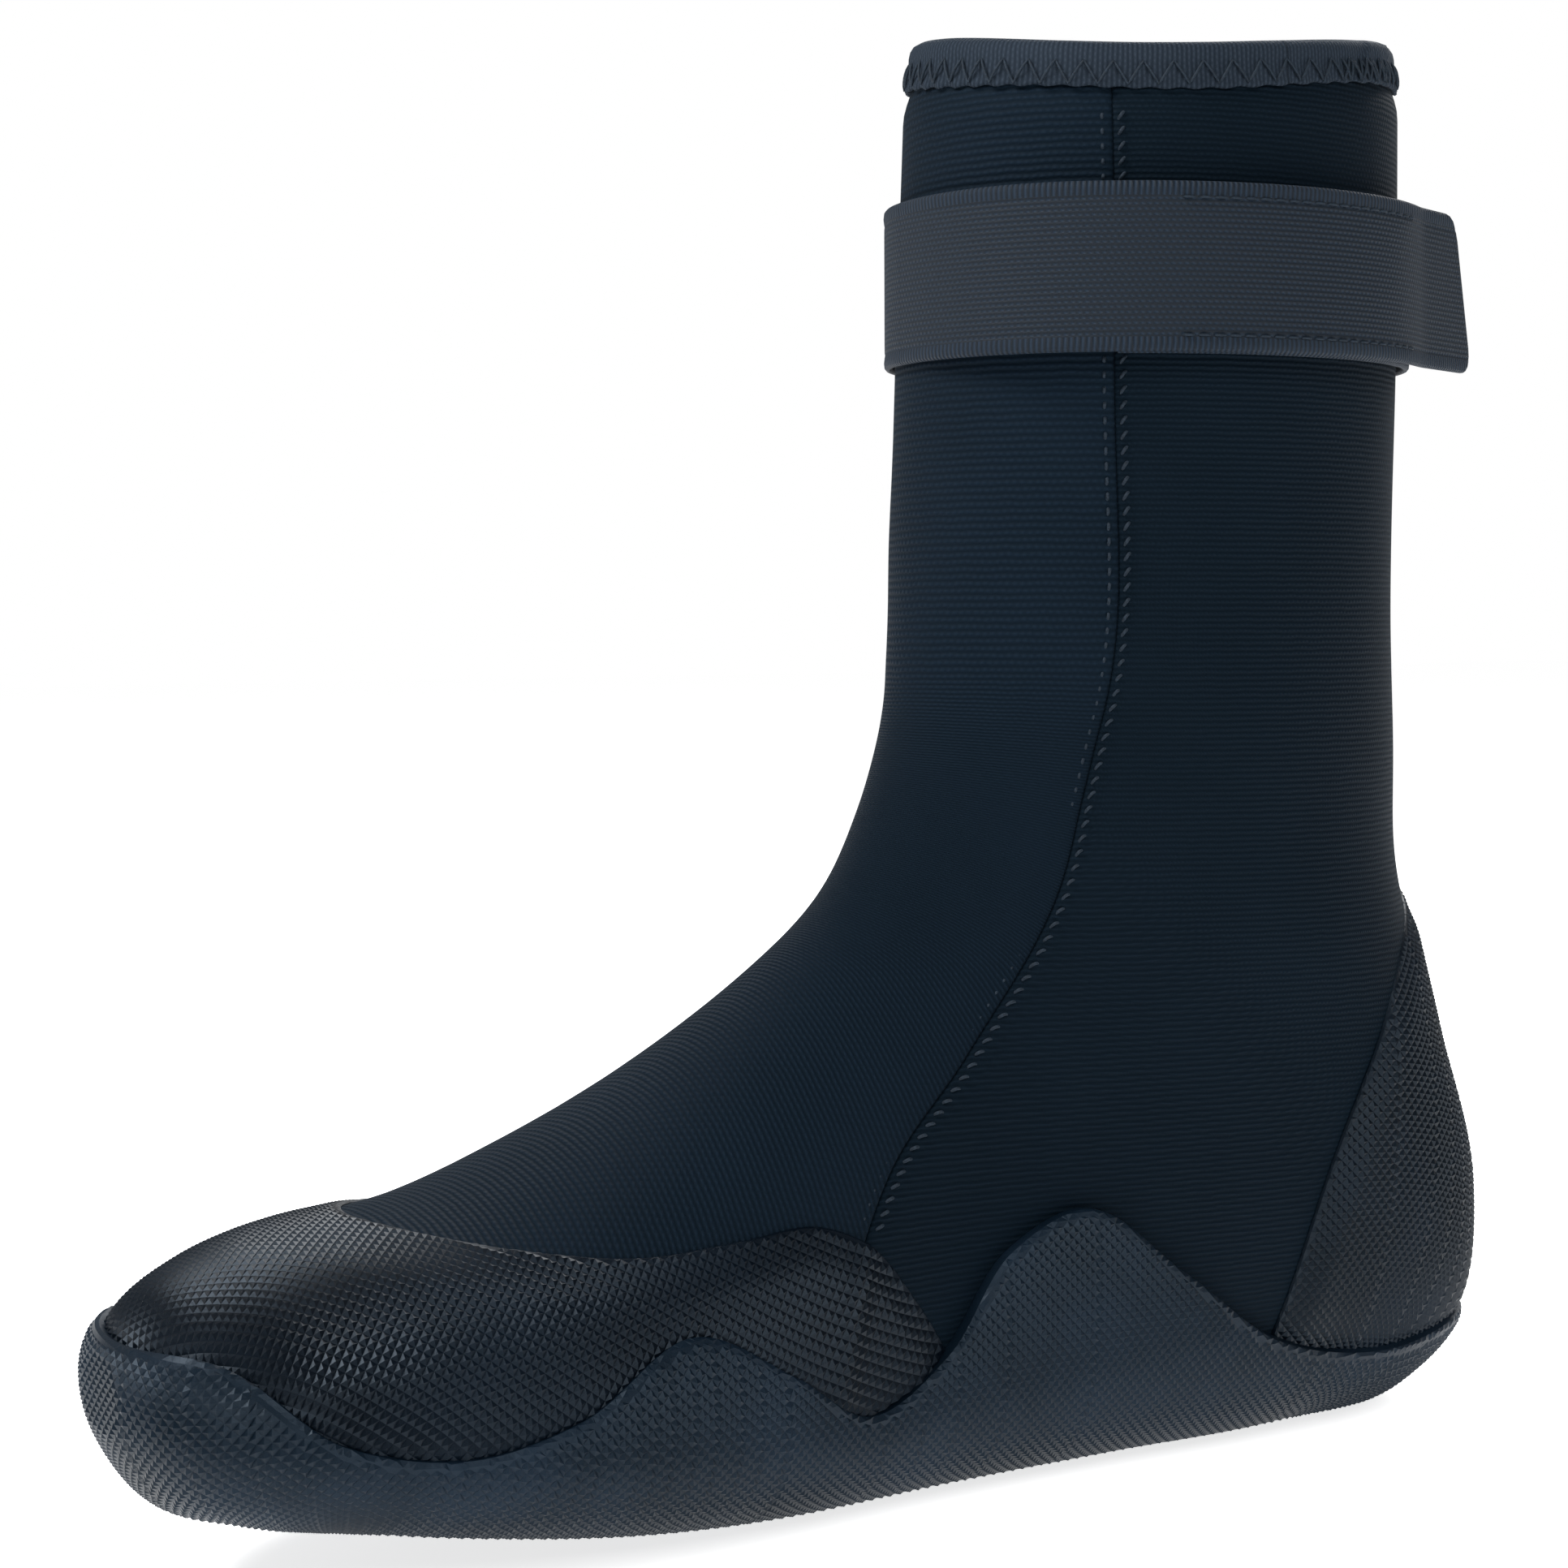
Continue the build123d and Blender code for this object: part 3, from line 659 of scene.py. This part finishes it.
def sole_panel_piece():
    """The board of foam under the foot."""
    rows, columns = 150, 60
    u = np.linspace(STATION_KNOTS[2], STATION_KNOTS[13], rows)[:, None]
    theta = np.linspace(180, 360, columns)[None, :]
    outer, inner = surface(u, theta), surface(u, theta, -NEOPRENE)
    data = np.concatenate([outer, inner], axis=-1).reshape(-1, 6)
    below = 0.1 - height_above(SOLE_SEAM, outer).reshape(-1)
    data, faces = cut_faces(below, data, grid_faces(rows, columns))
    points, faces = shell(data[:, :3], data[:, 3:], faces)
    made = piece("sole_panel_foam", points, faces, NEOPRENE_KNIT, uv=points[:, :2])
    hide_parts("sole_panel")
    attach(made, "boot")


panel_rows = np.linspace(STATION_KNOTS[2], U_END - COLLAR_DROP, PANEL_ROWS)
panel("front_panel", panel_rows, FRONT_COLUMNS, True, NEOPRENE_KNIT)
panel("back_panel", panel_rows, BACK_COLUMNS, False, REAR_KNIT)
sole_panel_piece()

# ------------------------ rubber
PEBBLE_STEP, PEBBLE_RISE = 1.1, 0.42
CAP_UNDER_RIM = 7.0
CAP_HALF_COLUMNS, CAP_REACH = 74, 165.0
SEAM_RIDGE, SEAM_RIDGE_WIDTH = 0.7, 2.6
GROOVE_DEPTH, GROOVE_PITCH = 1.1, 9.0
WALL_COLUMNS, WALL_UNDER_ROWS = 604, 26
SPINE_X = 1.5


def finished_rubber(node_name, data, faces, material, edges, lip, depth, thinning):
    """Turns a lattice into a piece. data holds place, normal, evenness and two lengths;
    each of edges gives the distances of points from a free edge. lip is the width left
    smooth beside them, and thinning how much thinner the rubber is there."""

    def nearest(rows_of_data):
        return np.min([edge_line(rows_of_data[:, :3]) for edge_line in edges], axis=0)

    for edge_line in edges:
        data, faces = cut_faces(edge_line(data[:, :3]), data, faces)
    data, faces = cut_faces(nearest(data) - lip, data, faces, both=True)
    edge = np.maximum(nearest(data), 0)
    lift = PEBBLE_RISE * data[:, 6] * smoothstep(lip, lip + 0.5, edge)
    lift = lift - rounded_edge(edge, 0.6) - thinning * smoothstep(8, 0, edge)
    outer = data[:, :3] + data[:, 3:6] * lift[:, None]
    inner = data[:, :3] - data[:, 3:6] * depth
    points, faces = lipped(outer, inner, faces)
    uv = np.vstack([data[:, 7:9], np.zeros((len(points) - len(data), 2))])
    made = piece(node_name + "_rubber", points, faces, material, smooth=False, uv=uv)
    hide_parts(node_name)
    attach(made, "boot")


def above_cap_foot(place):
    """Distance of points above the lower edge of both caps, hidden under the outsole."""
    return height_above(RIM_LINE, place) + CAP_UNDER_RIM


def lattice_data(points, normal):
    """Rows of place, normal, evenness and lattice lengths, one for each point."""
    i, j = np.indices(points.shape[:2])
    even = ((i + j) % 2 == 0).astype(float)
    lengths = np.stack([even, j * PEBBLE_STEP, i * PEBBLE_STEP], -1)
    return np.concatenate([points, normal, lengths], axis=-1).reshape(-1, 9)


def toe_cap_piece():
    """Rubber cap bonded over the toes, pressed up a little by the side seam under it."""
    knots = np.linspace(0, STATION_KNOTS[11], 900)
    ridge = surface(knots, 90.0, CAP_GROW)
    length = running_length(ridge)
    rows = int(length[-1] / PEBBLE_STEP)
    u_rows = np.interp(np.arange(rows) * PEBBLE_STEP, length, knots)
    half = CAP_HALF_COLUMNS
    stops = np.arange(half + 1) * PEBBLE_STEP
    theta = np.empty((rows, 2 * half + 1))
    slack = np.empty_like(theta)
    for i, u in enumerate(u_rows):
        for side in (1, -1):
            turn, run = section_track(u, 90, 90 + side * CAP_REACH)
            theta[i, half::side] = np.interp(stops, run, turn)
            slack[i, half::side] = run[-1] - stops
    u = np.broadcast_to(u_rows[:, None], theta.shape)
    points = surface(u, theta, CAP_GROW)
    normal = grid_normals(points)
    from_seam = depth_behind(SEAM_LINE, points) / SEAM_RIDGE_WIDTH
    points = points + normal * (SEAM_RIDGE * np.exp(-(from_seam**2)))[..., None]
    data = lattice_data(points, normal)
    edges = [lambda place: -height_above(CAP_LINE, place), above_cap_foot]
    data, faces = cut_faces(slack.ravel(), data, diamond_faces(*theta.shape))
    finished_rubber("toe_cap", data, faces, TOE_RUBBER, edges, 0.3, 1.7, 1.1)


def wall_outline(height, tree, toe_y, heel_y):
    """Centres and outward directions round the sole, evenly spaced at its wall."""
    straight = np.linspace(toe_y, heel_y, 160)[:-1]
    fan = np.linspace(0, pi, 160)[:-1]
    centres = [(SPINE_X, y) for y in straight] + [(SPINE_X, heel_y)] * len(fan)
    centres += [(SPINE_X, y) for y in straight[::-1]] + [(SPINE_X, toe_y)] * len(fan)
    turns = [0.0] * len(straight) + fan.tolist() + [pi] * len(straight) + (fan + pi).tolist()
    hits = []
    for (x, y), turn in zip(centres, turns):
        found = tree.ray_cast(Vector((x, y, height)), Vector((cos(turn), sin(turn), 0)))[0]
        hits.append(found[:2])
    hits = np.array(hits + hits[:1])
    run = running_length(hits)
    stops = np.linspace(0, run[-1], WALL_COLUMNS, endpoint=False)
    track = [(x, y, turn) for (x, y), turn in zip(centres, turns)]
    track = np.array(track + [(SPINE_X, toe_y, 2 * pi)])
    return np.array([np.interp(stops, run, track[:, k]) for k in range(3)]).T


def wall_lattice(tree, outline, height, low, high, start_height, rows):
    """Points up the wall, a pebble step apart, with coarser rows in under the sole."""
    elevation = np.radians(np.linspace(low, high, 150))
    points = np.empty((rows + WALL_UNDER_ROWS, len(outline), 3))
    for j, (x, y, turn) in enumerate(outline):
        centre = np.array([x, y, height])
        profile = []
        for angle in elevation:
            aim = np.array([cos(turn) * cos(angle), sin(turn) * cos(angle), sin(angle)])
            found = tree.ray_cast(Vector(centre), Vector(aim))[0]
            reach = np.linalg.norm(np.array(found) - centre) if found else 0.0
            if aim[2] < 0:
                reach = min(reach, -height / aim[2])
            profile.append(centre + aim * reach)
        profile = np.array(profile)
        run = running_length(profile)
        lowest = profile[:, 2].min()
        corner = np.nonzero(profile[:, 2] > lowest + start_height)[0]
        start = run[corner[0]]
        under = np.linspace(0, start, WALL_UNDER_ROWS, endpoint=False)
        stops = np.concatenate([under, start + np.arange(rows) * PEBBLE_STEP])
        for k in range(3):
            points[:, j, k] = np.interp(stops, run, profile[:, k])
    return points


def outsole_piece():
    """Foot-shaped rubber shell, its wavy edge folded up over the foam and the caps."""
    tree = form_tree(SOLE_GROW, sole=True)
    height = 22.0
    outline = wall_outline(height, tree, -172.0, 20.0)
    points = wall_lattice(tree, outline, height, -89.5, 74, 3.0, 66)
    normal = -grid_normals(points, wrap=True)
    row = np.indices(points.shape[:2])[0]
    inside_border = smoothstep(0.93, 0.86, row / WALL_UNDER_ROWS)
    points = points - normal * (tread_depth(points) * inside_border)[..., None]
    data = lattice_data(points, normal)
    data[:, 6] *= row.ravel() >= WALL_UNDER_ROWS
    faces = [face[::-1] for face in diamond_faces(*points.shape[:2], wrap=True)]
    edges = [lambda place: -height_above(RIM_LINE, place)]
    finished_rubber("outsole", data, faces, SOLE_RUBBER, edges, 1.1, 3.2, 0.3)


def tread_depth(points):
    """Shallow wavy grooves across the sole, inside a plain border."""
    x, y = points[..., 0], points[..., 1]
    wavy = y + 3.0 * np.sin(x / 6.5)
    return GROOVE_DEPTH * smoothstep(0.62, 0.9, np.sin(wavy * 2 * pi / GROOVE_PITCH))


def heel_cap_piece():
    """Rubber counter bonded round the heel."""
    tree = form_tree(CAP_GROW)
    height = 40.0
    outline = wall_outline(height, tree, -120.0, 18.0)
    points = wall_lattice(tree, outline, height, -60, 78, 3.0, 126)
    normal = -grid_normals(points, wrap=True)
    data = lattice_data(points, normal)
    faces = [face[::-1] for face in diamond_faces(*points.shape[:2], wrap=True)]
    edges = [lambda place: depth_behind(HEEL_LINE, place), above_cap_foot]
    finished_rubber("heel_cap", data, faces, HEEL_RUBBER, edges, 0.3, 1.7, 1.2)


toe_cap_piece()
heel_cap_piece()
outsole_piece()

# ------------------------ stitches
SEAM_PITCH = 2.7
# Each row of the seam's stitches: distance behind the seam, length of a thread, slant.
SEAM_ROWS = ((-1.9, 1.5, 0.1), (1.5, 1.9, 0.75))


def threads(name, starts, ends, outward, radius, arch, nodes, body="boot"):
    """One mesh of short threads, each arching from a start to an end."""
    rings, sides = 7, 6
    t = np.linspace(-1, 1, rings)
    starts, ends, outward = np.array(starts), np.array(ends), np.array(outward)
    middle, half = (starts + ends) / 2, (ends - starts) / 2
    along = half / np.linalg.norm(half, axis=1, keepdims=True)
    side = np.cross(outward, along)
    turn = np.linspace(0, 2 * pi, sides, endpoint=False)
    thick = radius * np.maximum(1 - t**8, 0.35) ** 0.5
    rise = arch * (1 - t**2) - radius * 0.6
    centre = middle[:, None] + half[:, None] * t[None, :, None]
    centre = centre + outward[:, None] * rise[None, :, None]
    cosine, sine = np.cos(turn)[None, :, None], np.sin(turn)[None, :, None]
    ring = side[:, None] * cosine + outward[:, None] * sine
    points = centre[:, :, None] + ring[:, None] * thick[None, :, None, None]
    one = [face[::-1] for face in grid_faces(rings, sides, wrap=True)]
    one += [list(range(sides)), [rings * sides - 1 - k for k in range(sides)]]
    faces = [[v + n * rings * sides for v in face] for n in range(len(starts)) for face in one]
    made = piece(name, points.reshape(-1, 3), faces, THREAD_LOOK)
    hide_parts(*nodes)
    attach(made, body)


def frame_on(u, theta, grow):
    """A point of the surface with its outward direction."""
    here = surface(u, theta, grow)
    outward = surface(u, theta, grow + 1.0) - here
    return here, outward / np.linalg.norm(outward, axis=-1, keepdims=True)


def seam_stitches(side, name):
    """Blind stitches either side of the seam: small dashes and slanted threads."""
    dense = np.linspace(STATION_KNOTS[7], U_END - 10.0, 600)
    theta = np.array([seam_angle(u, side) for u in dense])
    track = surface(dense, theta)
    keep = height_above(CAP_LINE, track) > 1.5
    dense, theta, track = dense[keep], theta[keep], track[keep]
    run = running_length(track)
    stops = np.arange(1.5, run[-1] - 1.5, SEAM_PITCH)
    starts, ends, outward = [], [], []
    for stop in stops:
        for offset, length, slant in SEAM_ROWS:
            u, angle = np.interp(stop, run, dense), np.interp(stop, run, theta)
            here, out = frame_on(u, angle, -0.35)
            ahead = np.array([np.interp(stop + 0.5, run, track[:, k]) for k in range(3)])
            behind = np.array([np.interp(stop - 0.5, run, track[:, k]) for k in range(3)])
            along = (ahead - behind) / np.linalg.norm(ahead - behind)
            across = np.cross(along, out)
            across *= -1 if across[1] < 0 else 1
            spot = here + across * offset
            step = along + across * slant
            step = step / np.linalg.norm(step) * length / 2
            starts.append(spot - step)
            ends.append(spot + step)
            outward.append(out)
    threads(name + "_threads", starts, ends, outward, 0.32, 0.55, [name])


seam_stitches(1, "seam_stitch_medial")
seam_stitches(-1, "seam_stitch_lateral")

# ------------------------ collar
# The tape's cross-section: distance below the collar's edge, and off the foam's face.
BINDING_PROFILE = [(7.4, 0.1), (7.6, 0.5), (7.4, 0.9), (6.8, 1.1), (6, 1.2), (4.5, 1.3), (3, 1.4)]
BINDING_PROFILE += [(1.5, 1.4), (0.4, 1.2), (-0.4, 0.7), (-1.0, -0.4), (-1.2, -1.8), (-1.2, -3.2)]
BINDING_PROFILE += [(-1.0, -4.6), (-0.4, -5.6), (0.6, -6.2), (3, -6.3), (6, -6.3), (7.2, -6.2)]
BINDING_PROFILE += [(7.6, -5.8), (7.6, -5.2), (4, -4.8), (0.8, -3.6), (0.8, -1.4), (4, -0.6)]
JOIN_ANGLE, JOIN_TURN = 318.0, 13.0
ZIGZAG_HIGH, ZIGZAG_LOW, ZIGZAG_COUNT, BUNCHED_STEP = 2.6, 7.0, 54, 1.9


def binding_lift(theta, drop):
    """Puckers between the stitches, and the overlap where the tape's ends meet."""
    pucker = 0.16 * np.sin(np.radians(theta) * ZIGZAG_COUNT + drop * 0.9) * smoothstep(0, 5, drop)
    slow = 0.22 * np.sin(np.radians(theta) * 7 + 1) + 0.14 * np.sin(np.radians(theta) * 17)
    start = JOIN_ANGLE + drop * 0.9
    end = start + JOIN_TURN
    overlap = smoothstep(start, start + 0.8, theta) * smoothstep(end + 0.8, end, theta)
    return pucker + slow * 0.6 + 0.5 * overlap


def collar_point(theta, drop, grow):
    """A point of the collar at a distance below its edge and off the foam's face."""
    outer = np.where(np.asarray(grow) > -2.5, 1.0, -1.0)
    lift = binding_lift(theta, drop) * outer * np.clip(np.abs(np.asarray(grow) + 2.5) / 3, 0, 1)
    return surface(U_END - drop, theta, grow + lift - squeeze(np.asarray(drop, float)))


def binding_piece():
    """Knit tape folded over the collar's edge."""
    profile = np.array(BINDING_PROFILE)
    theta = np.linspace(0, 360, 560, endpoint=False)[:, None]
    wavy = 0.22 * np.sin(np.radians(theta) * ZIGZAG_COUNT) + 0.3 * np.sin(np.radians(theta) * 5)
    drop = profile[None, :, 0] + wavy * smoothstep(5, 8, profile[None, :, 0])
    points = collar_point(theta, drop, np.broadcast_to(profile[None, :, 1], drop.shape))
    rows, columns = points.shape[:2]
    closed = np.concatenate([points, points[:1]], axis=0)
    faces = grid_faces(rows + 1, columns, wrap=True)
    faces = [[v % (rows * columns) for v in face] for face in faces]
    across = running_length(profile)
    around = np.linalg.norm(np.diff(closed, axis=0), axis=2).cumsum(axis=0)[:, 5]
    uv = np.stack(np.broadcast_arrays(across[None, :], around[:, None]), -1)
    points, uv = points.reshape(-1, 3), uv.reshape(-1, 2)
    made = piece("collar_tape", points, faces, BINDING_KNIT, uv=uv)
    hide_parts("collar_binding")
    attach(made, "boot")


def zigzag(name, grow, outwards, nodes):
    """Zigzag threads round the collar, bunched where the tape's ends overlap."""
    even_step = 180.0 / ZIGZAG_COUNT
    stops = list(np.arange(2 * ZIGZAG_COUNT) * even_step)
    extra = [JOIN_ANGLE + 2 + BUNCHED_STEP * k for k in range(12)]
    starts, ends, outward = [], [], []
    for n, theta in enumerate(stops + extra):
        step = even_step if n < len(stops) else BUNCHED_STEP
        drops = (ZIGZAG_LOW, ZIGZAG_HIGH) if n % 2 else (ZIGZAG_HIGH, ZIGZAG_LOW)
        first = collar_point(theta, drops[0], grow)
        second = collar_point(theta + step, drops[1], grow)
        starts.append(first)
        ends.append(second)
        outward.append(frame_on(U_END - 4.5, theta, 0.0)[1] * outwards)
    threads(name, starts, ends, outward, 0.27, 0.4, nodes)


binding_piece()
zigzag("collar_zigzag", 1.5, 1, ["collar_stitch"])
zigzag("collar_zigzag_inner", -6.4, -1, ["collar_stitch"])

# ------------------------ ankle strap
STRAP_LOW, STRAP_STEP = 206.0, 1.2
STRAP_HALF_X, STRAP_HALF_Y, STRAP_Y = 41.1, 51.2, -1.0
WEB = 1.4
ANCHOR_AT, LOOP_AT, HOOK_AT, END_AT = 0.9, 2.4, 3.4, 4.4
PILE = 0.9
STITCH_PITCH, STITCH_LENGTH, STITCH_LIFT = 3.0, 2.3, 0.05
TOP_ROW, LOW_ROW = STRAP_LOW + STRAP_WIDTH - 2.9, STRAP_LOW + 2.9
TAB_LOW, TAB_TOP, TAB_TURN, TAB_CORNER = 27.0, 18.0, radians(10), 5.0
ANCHOR_START, SIDE_SPLIT, FRONT_SPLIT, STRAP_TURN = -38.0, 150.0, 262.0, 400.0
CLIMB_START, CLIMB_END = 262.0, 317.0


def strap_point(angle, distance):
    """A point of the strap's path round the shaft, at a distance off it."""
    angle = np.radians(angle)
    x = (STRAP_HALF_X + distance) * np.cos(angle)
    return np.stack([x, STRAP_Y + (STRAP_HALF_Y + distance) * np.sin(angle)], -1)


def strap_path(start, end, distance):
    """Places, directions and running lengths along a run of strap, STRAP_STEP apart."""
    dense = np.linspace(start, end, 800)
    track = strap_point(dense, distance(dense))
    run = running_length(track)
    stops = np.linspace(0, run[-1], max(3, int(run[-1] / STRAP_STEP)))
    place = np.stack([np.interp(stops, run, track[:, k]) for k in range(2)], -1)
    tangent = np.gradient(place, axis=0)
    tangent /= np.linalg.norm(tangent, axis=1, keepdims=True)
    return place, tangent, stops


def climb(angle):
    """Distance of the strap off the shaft, rising where it crosses its own fixed end."""
    share = smoothstep(CLIMB_START, CLIMB_END, np.asarray(angle, float))
    return ANCHOR_AT + (END_AT - ANCHOR_AT) * share


def band(
    name, path, low, width, thick, material, tab=False, ribbed=True, closed=(True, True)
):
    """Flat tape along a path, with rounded and slightly thicker edges. closed says which of
    its two ends have a face; an end that another band goes on from has none."""
    place, tangent, run = path
    across = np.array([0, 0.12, 0.5, 1.4, 2.4, 2.9, 3.4] + list(np.linspace(5, width - 5, 13)))
    across = np.concatenate([across, width - across[6::-1]])
    edge = np.minimum(across, width - across)
    half = thick / 2 * np.sqrt(np.clip(1 - (1 - np.clip(edge / 0.7, 0, 1)) ** 2, 0.02, 1))
    if ribbed:
        half = half + 0.12 * np.exp(-(((edge - 1.3) / 0.8) ** 2))
        half = half - 0.10 * np.exp(-(((edge - 2.9) / 0.35) ** 2))
    sides = np.concatenate([half, -half[::-1]])
    height = np.concatenate([across, across[::-1]])
    out = np.stack([tangent[:, 1], -tangent[:, 0]], -1)
    middle = place + out * thick / 2
    count, loop = len(place), len(sides)
    points = np.empty((count, loop, 3))
    points[..., :2] = middle[:, None] + out[:, None] * sides[None, :, None]
    points[..., 2] = low + height[None, :]
    lengths = np.broadcast_to(run[:, None], (count, loop)).copy()
    if tab:
        extra = 22
        reach = TAB_LOW + (TAB_TOP - TAB_LOW) * height / width
        corner = np.clip(1 - np.minimum(height, width - height) / TAB_CORNER, 0, 1)
        reach = reach - TAB_CORNER * (1 - np.sqrt(1 - corner**2))
        share = np.linspace(0, 1, extra + 1)[1:]
        bend = TAB_TURN * smoothstep(0, 0.35, share)
        way = np.arctan2(tangent[-1, 1], tangent[-1, 0]) - bend
        step = np.diff(np.concatenate([[0.0], share]))
        line = np.cumsum(np.stack([np.cos(way), np.sin(way)], -1) * step[:, None], axis=0)
        out_tab = np.stack([np.sin(way), -np.cos(way)], -1)
        rounding = np.sqrt(np.clip(1 - ((share - 0.96) / 0.045) ** 2, 0.02, 1))
        thin = np.where(share > 0.96, rounding, 1)
        tail = np.empty((extra, loop, 3))
        tail[..., :2] = middle[-1] + line[:, None] * reach[None, :, None]
        tail[..., :2] += out_tab[:, None] * (sides[None, :] * thin[:, None])[..., None]
        tail[..., 2] = low + height[None, :]
        points = np.concatenate([points, tail])
        lengths = np.concatenate([lengths, run[-1] + share[:, None] * reach[None, :]])
        count += extra
    faces = [face[::-1] for face in grid_faces(count, loop, wrap=True)]
    ends = [list(range(loop)), [count * loop - 1 - k for k in range(loop)]]
    faces += [end for end, shown in zip(ends, closed) if shown]
    uv = np.stack([lengths, np.broadcast_to(height[None, :], lengths.shape)], -1)
    return piece(name, points.reshape(-1, 3), faces, material, uv=uv.reshape(-1, 2))


def level(distance):
    """A strap distance that stays the same all along."""
    return lambda angle: np.full(np.shape(angle), distance)


def at(angle, distance=2.0):
    """A point on the strap's middle line, in metres."""
    x, y = strap_point(angle, distance)
    return (x * MM, y * MM, (STRAP_LOW + STRAP_WIDTH / 2) * MM)


fixed = band("strap_fixed", strap_path(ANCHOR_START, SIDE_SPLIT, level(ANCHOR_AT)), STRAP_LOW,
             STRAP_WIDTH, WEB, WEBBING, closed=(True, False))
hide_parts("strap_anchor")
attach(fixed, "boot")

side_run = band("strap_side", strap_path(SIDE_SPLIT, FRONT_SPLIT, climb), STRAP_LOW,
                STRAP_WIDTH, WEB, WEBBING, closed=(False, False))
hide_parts("strap_anchor", "strap_front")
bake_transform(side_run)

closing = band("strap_closing", strap_path(FRONT_SPLIT, STRAP_TURN, climb), STRAP_LOW,
               STRAP_WIDTH, WEB, WEBBING, tab=True, closed=(False, True))
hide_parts("strap_front", "strap_end")
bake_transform(closing)

pile = band("loop_pile", strap_path(-36, 52, level(LOOP_AT)), STRAP_LOW + 1, STRAP_WIDTH - 2,
            PILE, LOOP_LOOK, ribbed=False)
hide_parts("loop_patch")
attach(pile, "boot")
hooks = band("hook_tape", strap_path(327, 396, level(HOOK_AT)), STRAP_LOW + 1, STRAP_WIDTH - 2,
             PILE, HOOK_LOOK, ribbed=False)
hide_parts("hook_patch")
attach(hooks, "strap_end")


def strap_row(start, end, distance, z):
    """Starts, ends and outward directions of a row of threads along the strap."""
    place, tangent, run = strap_path(start, end, level(distance))
    starts, ends, outward = [], [], []
    for stop in np.arange(STITCH_PITCH / 2, run[-1], STITCH_PITCH):
        spot = np.array([np.interp(stop, run, place[:, k]) for k in range(2)])
        way = np.array([np.interp(stop, run, tangent[:, k]) for k in range(2)])
        starts.append([*(spot - way * STITCH_LENGTH / 2), z])
        ends.append([*(spot + way * STITCH_LENGTH / 2), z])
        outward.append([way[1], -way[0], 0.0])
    return starts, ends, outward


def strap_threads(name, runs, nodes, body):
    """One piece from several rows of threads."""
    starts, ends, outward = [], [], []
    for run in runs:
        for total, part in zip((starts, ends, outward), run):
            total += part
    threads(name, starts, ends, outward, 0.24, 0.35, nodes, body)


end_rows = [strap_row(334, 396, END_AT + WEB + STITCH_LIFT, z) for z in (LOW_ROW, TOP_ROW)]
strap_threads("strap_end_threads", end_rows, ["strap_end_stitch"], "strap_end")


def anchor_box():
    """A box of threads that holds the strap to the back of the shaft."""
    distance = ANCHOR_AT + WEB + STITCH_LIFT
    runs = [strap_row(76, 104, distance, z) for z in (LOW_ROW, TOP_ROW)]
    upright = ([], [], [])
    for angle in (74, 106):
        spot = strap_point(angle, distance)
        out = strap_point(angle, distance + 1) - spot
        out /= np.linalg.norm(out)
        for z in np.arange(LOW_ROW + STITCH_PITCH / 2, TOP_ROW, STITCH_PITCH):
            upright[0].append([*spot, z - 1.1])
            upright[1].append([*spot, z + 1.1])
            upright[2].append([*out, 0.0])
    strap_threads("strap_anchor_threads", runs + [upright], ["anchor_stitch"], "boot")


anchor_box()

# ------------------------ nodes that stay
for name, material, slot in (
    ("insole", FOAM_LOOK, "insole_foam"),
    ("seam_tape_medial", TAPE_LOOK, "seam_tape"),
    ("seam_tape_lateral", TAPE_LOOK, "seam_tape"),
):
    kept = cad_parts[name]
    kept.data.materials.clear()
    kept.data.materials.append(material)
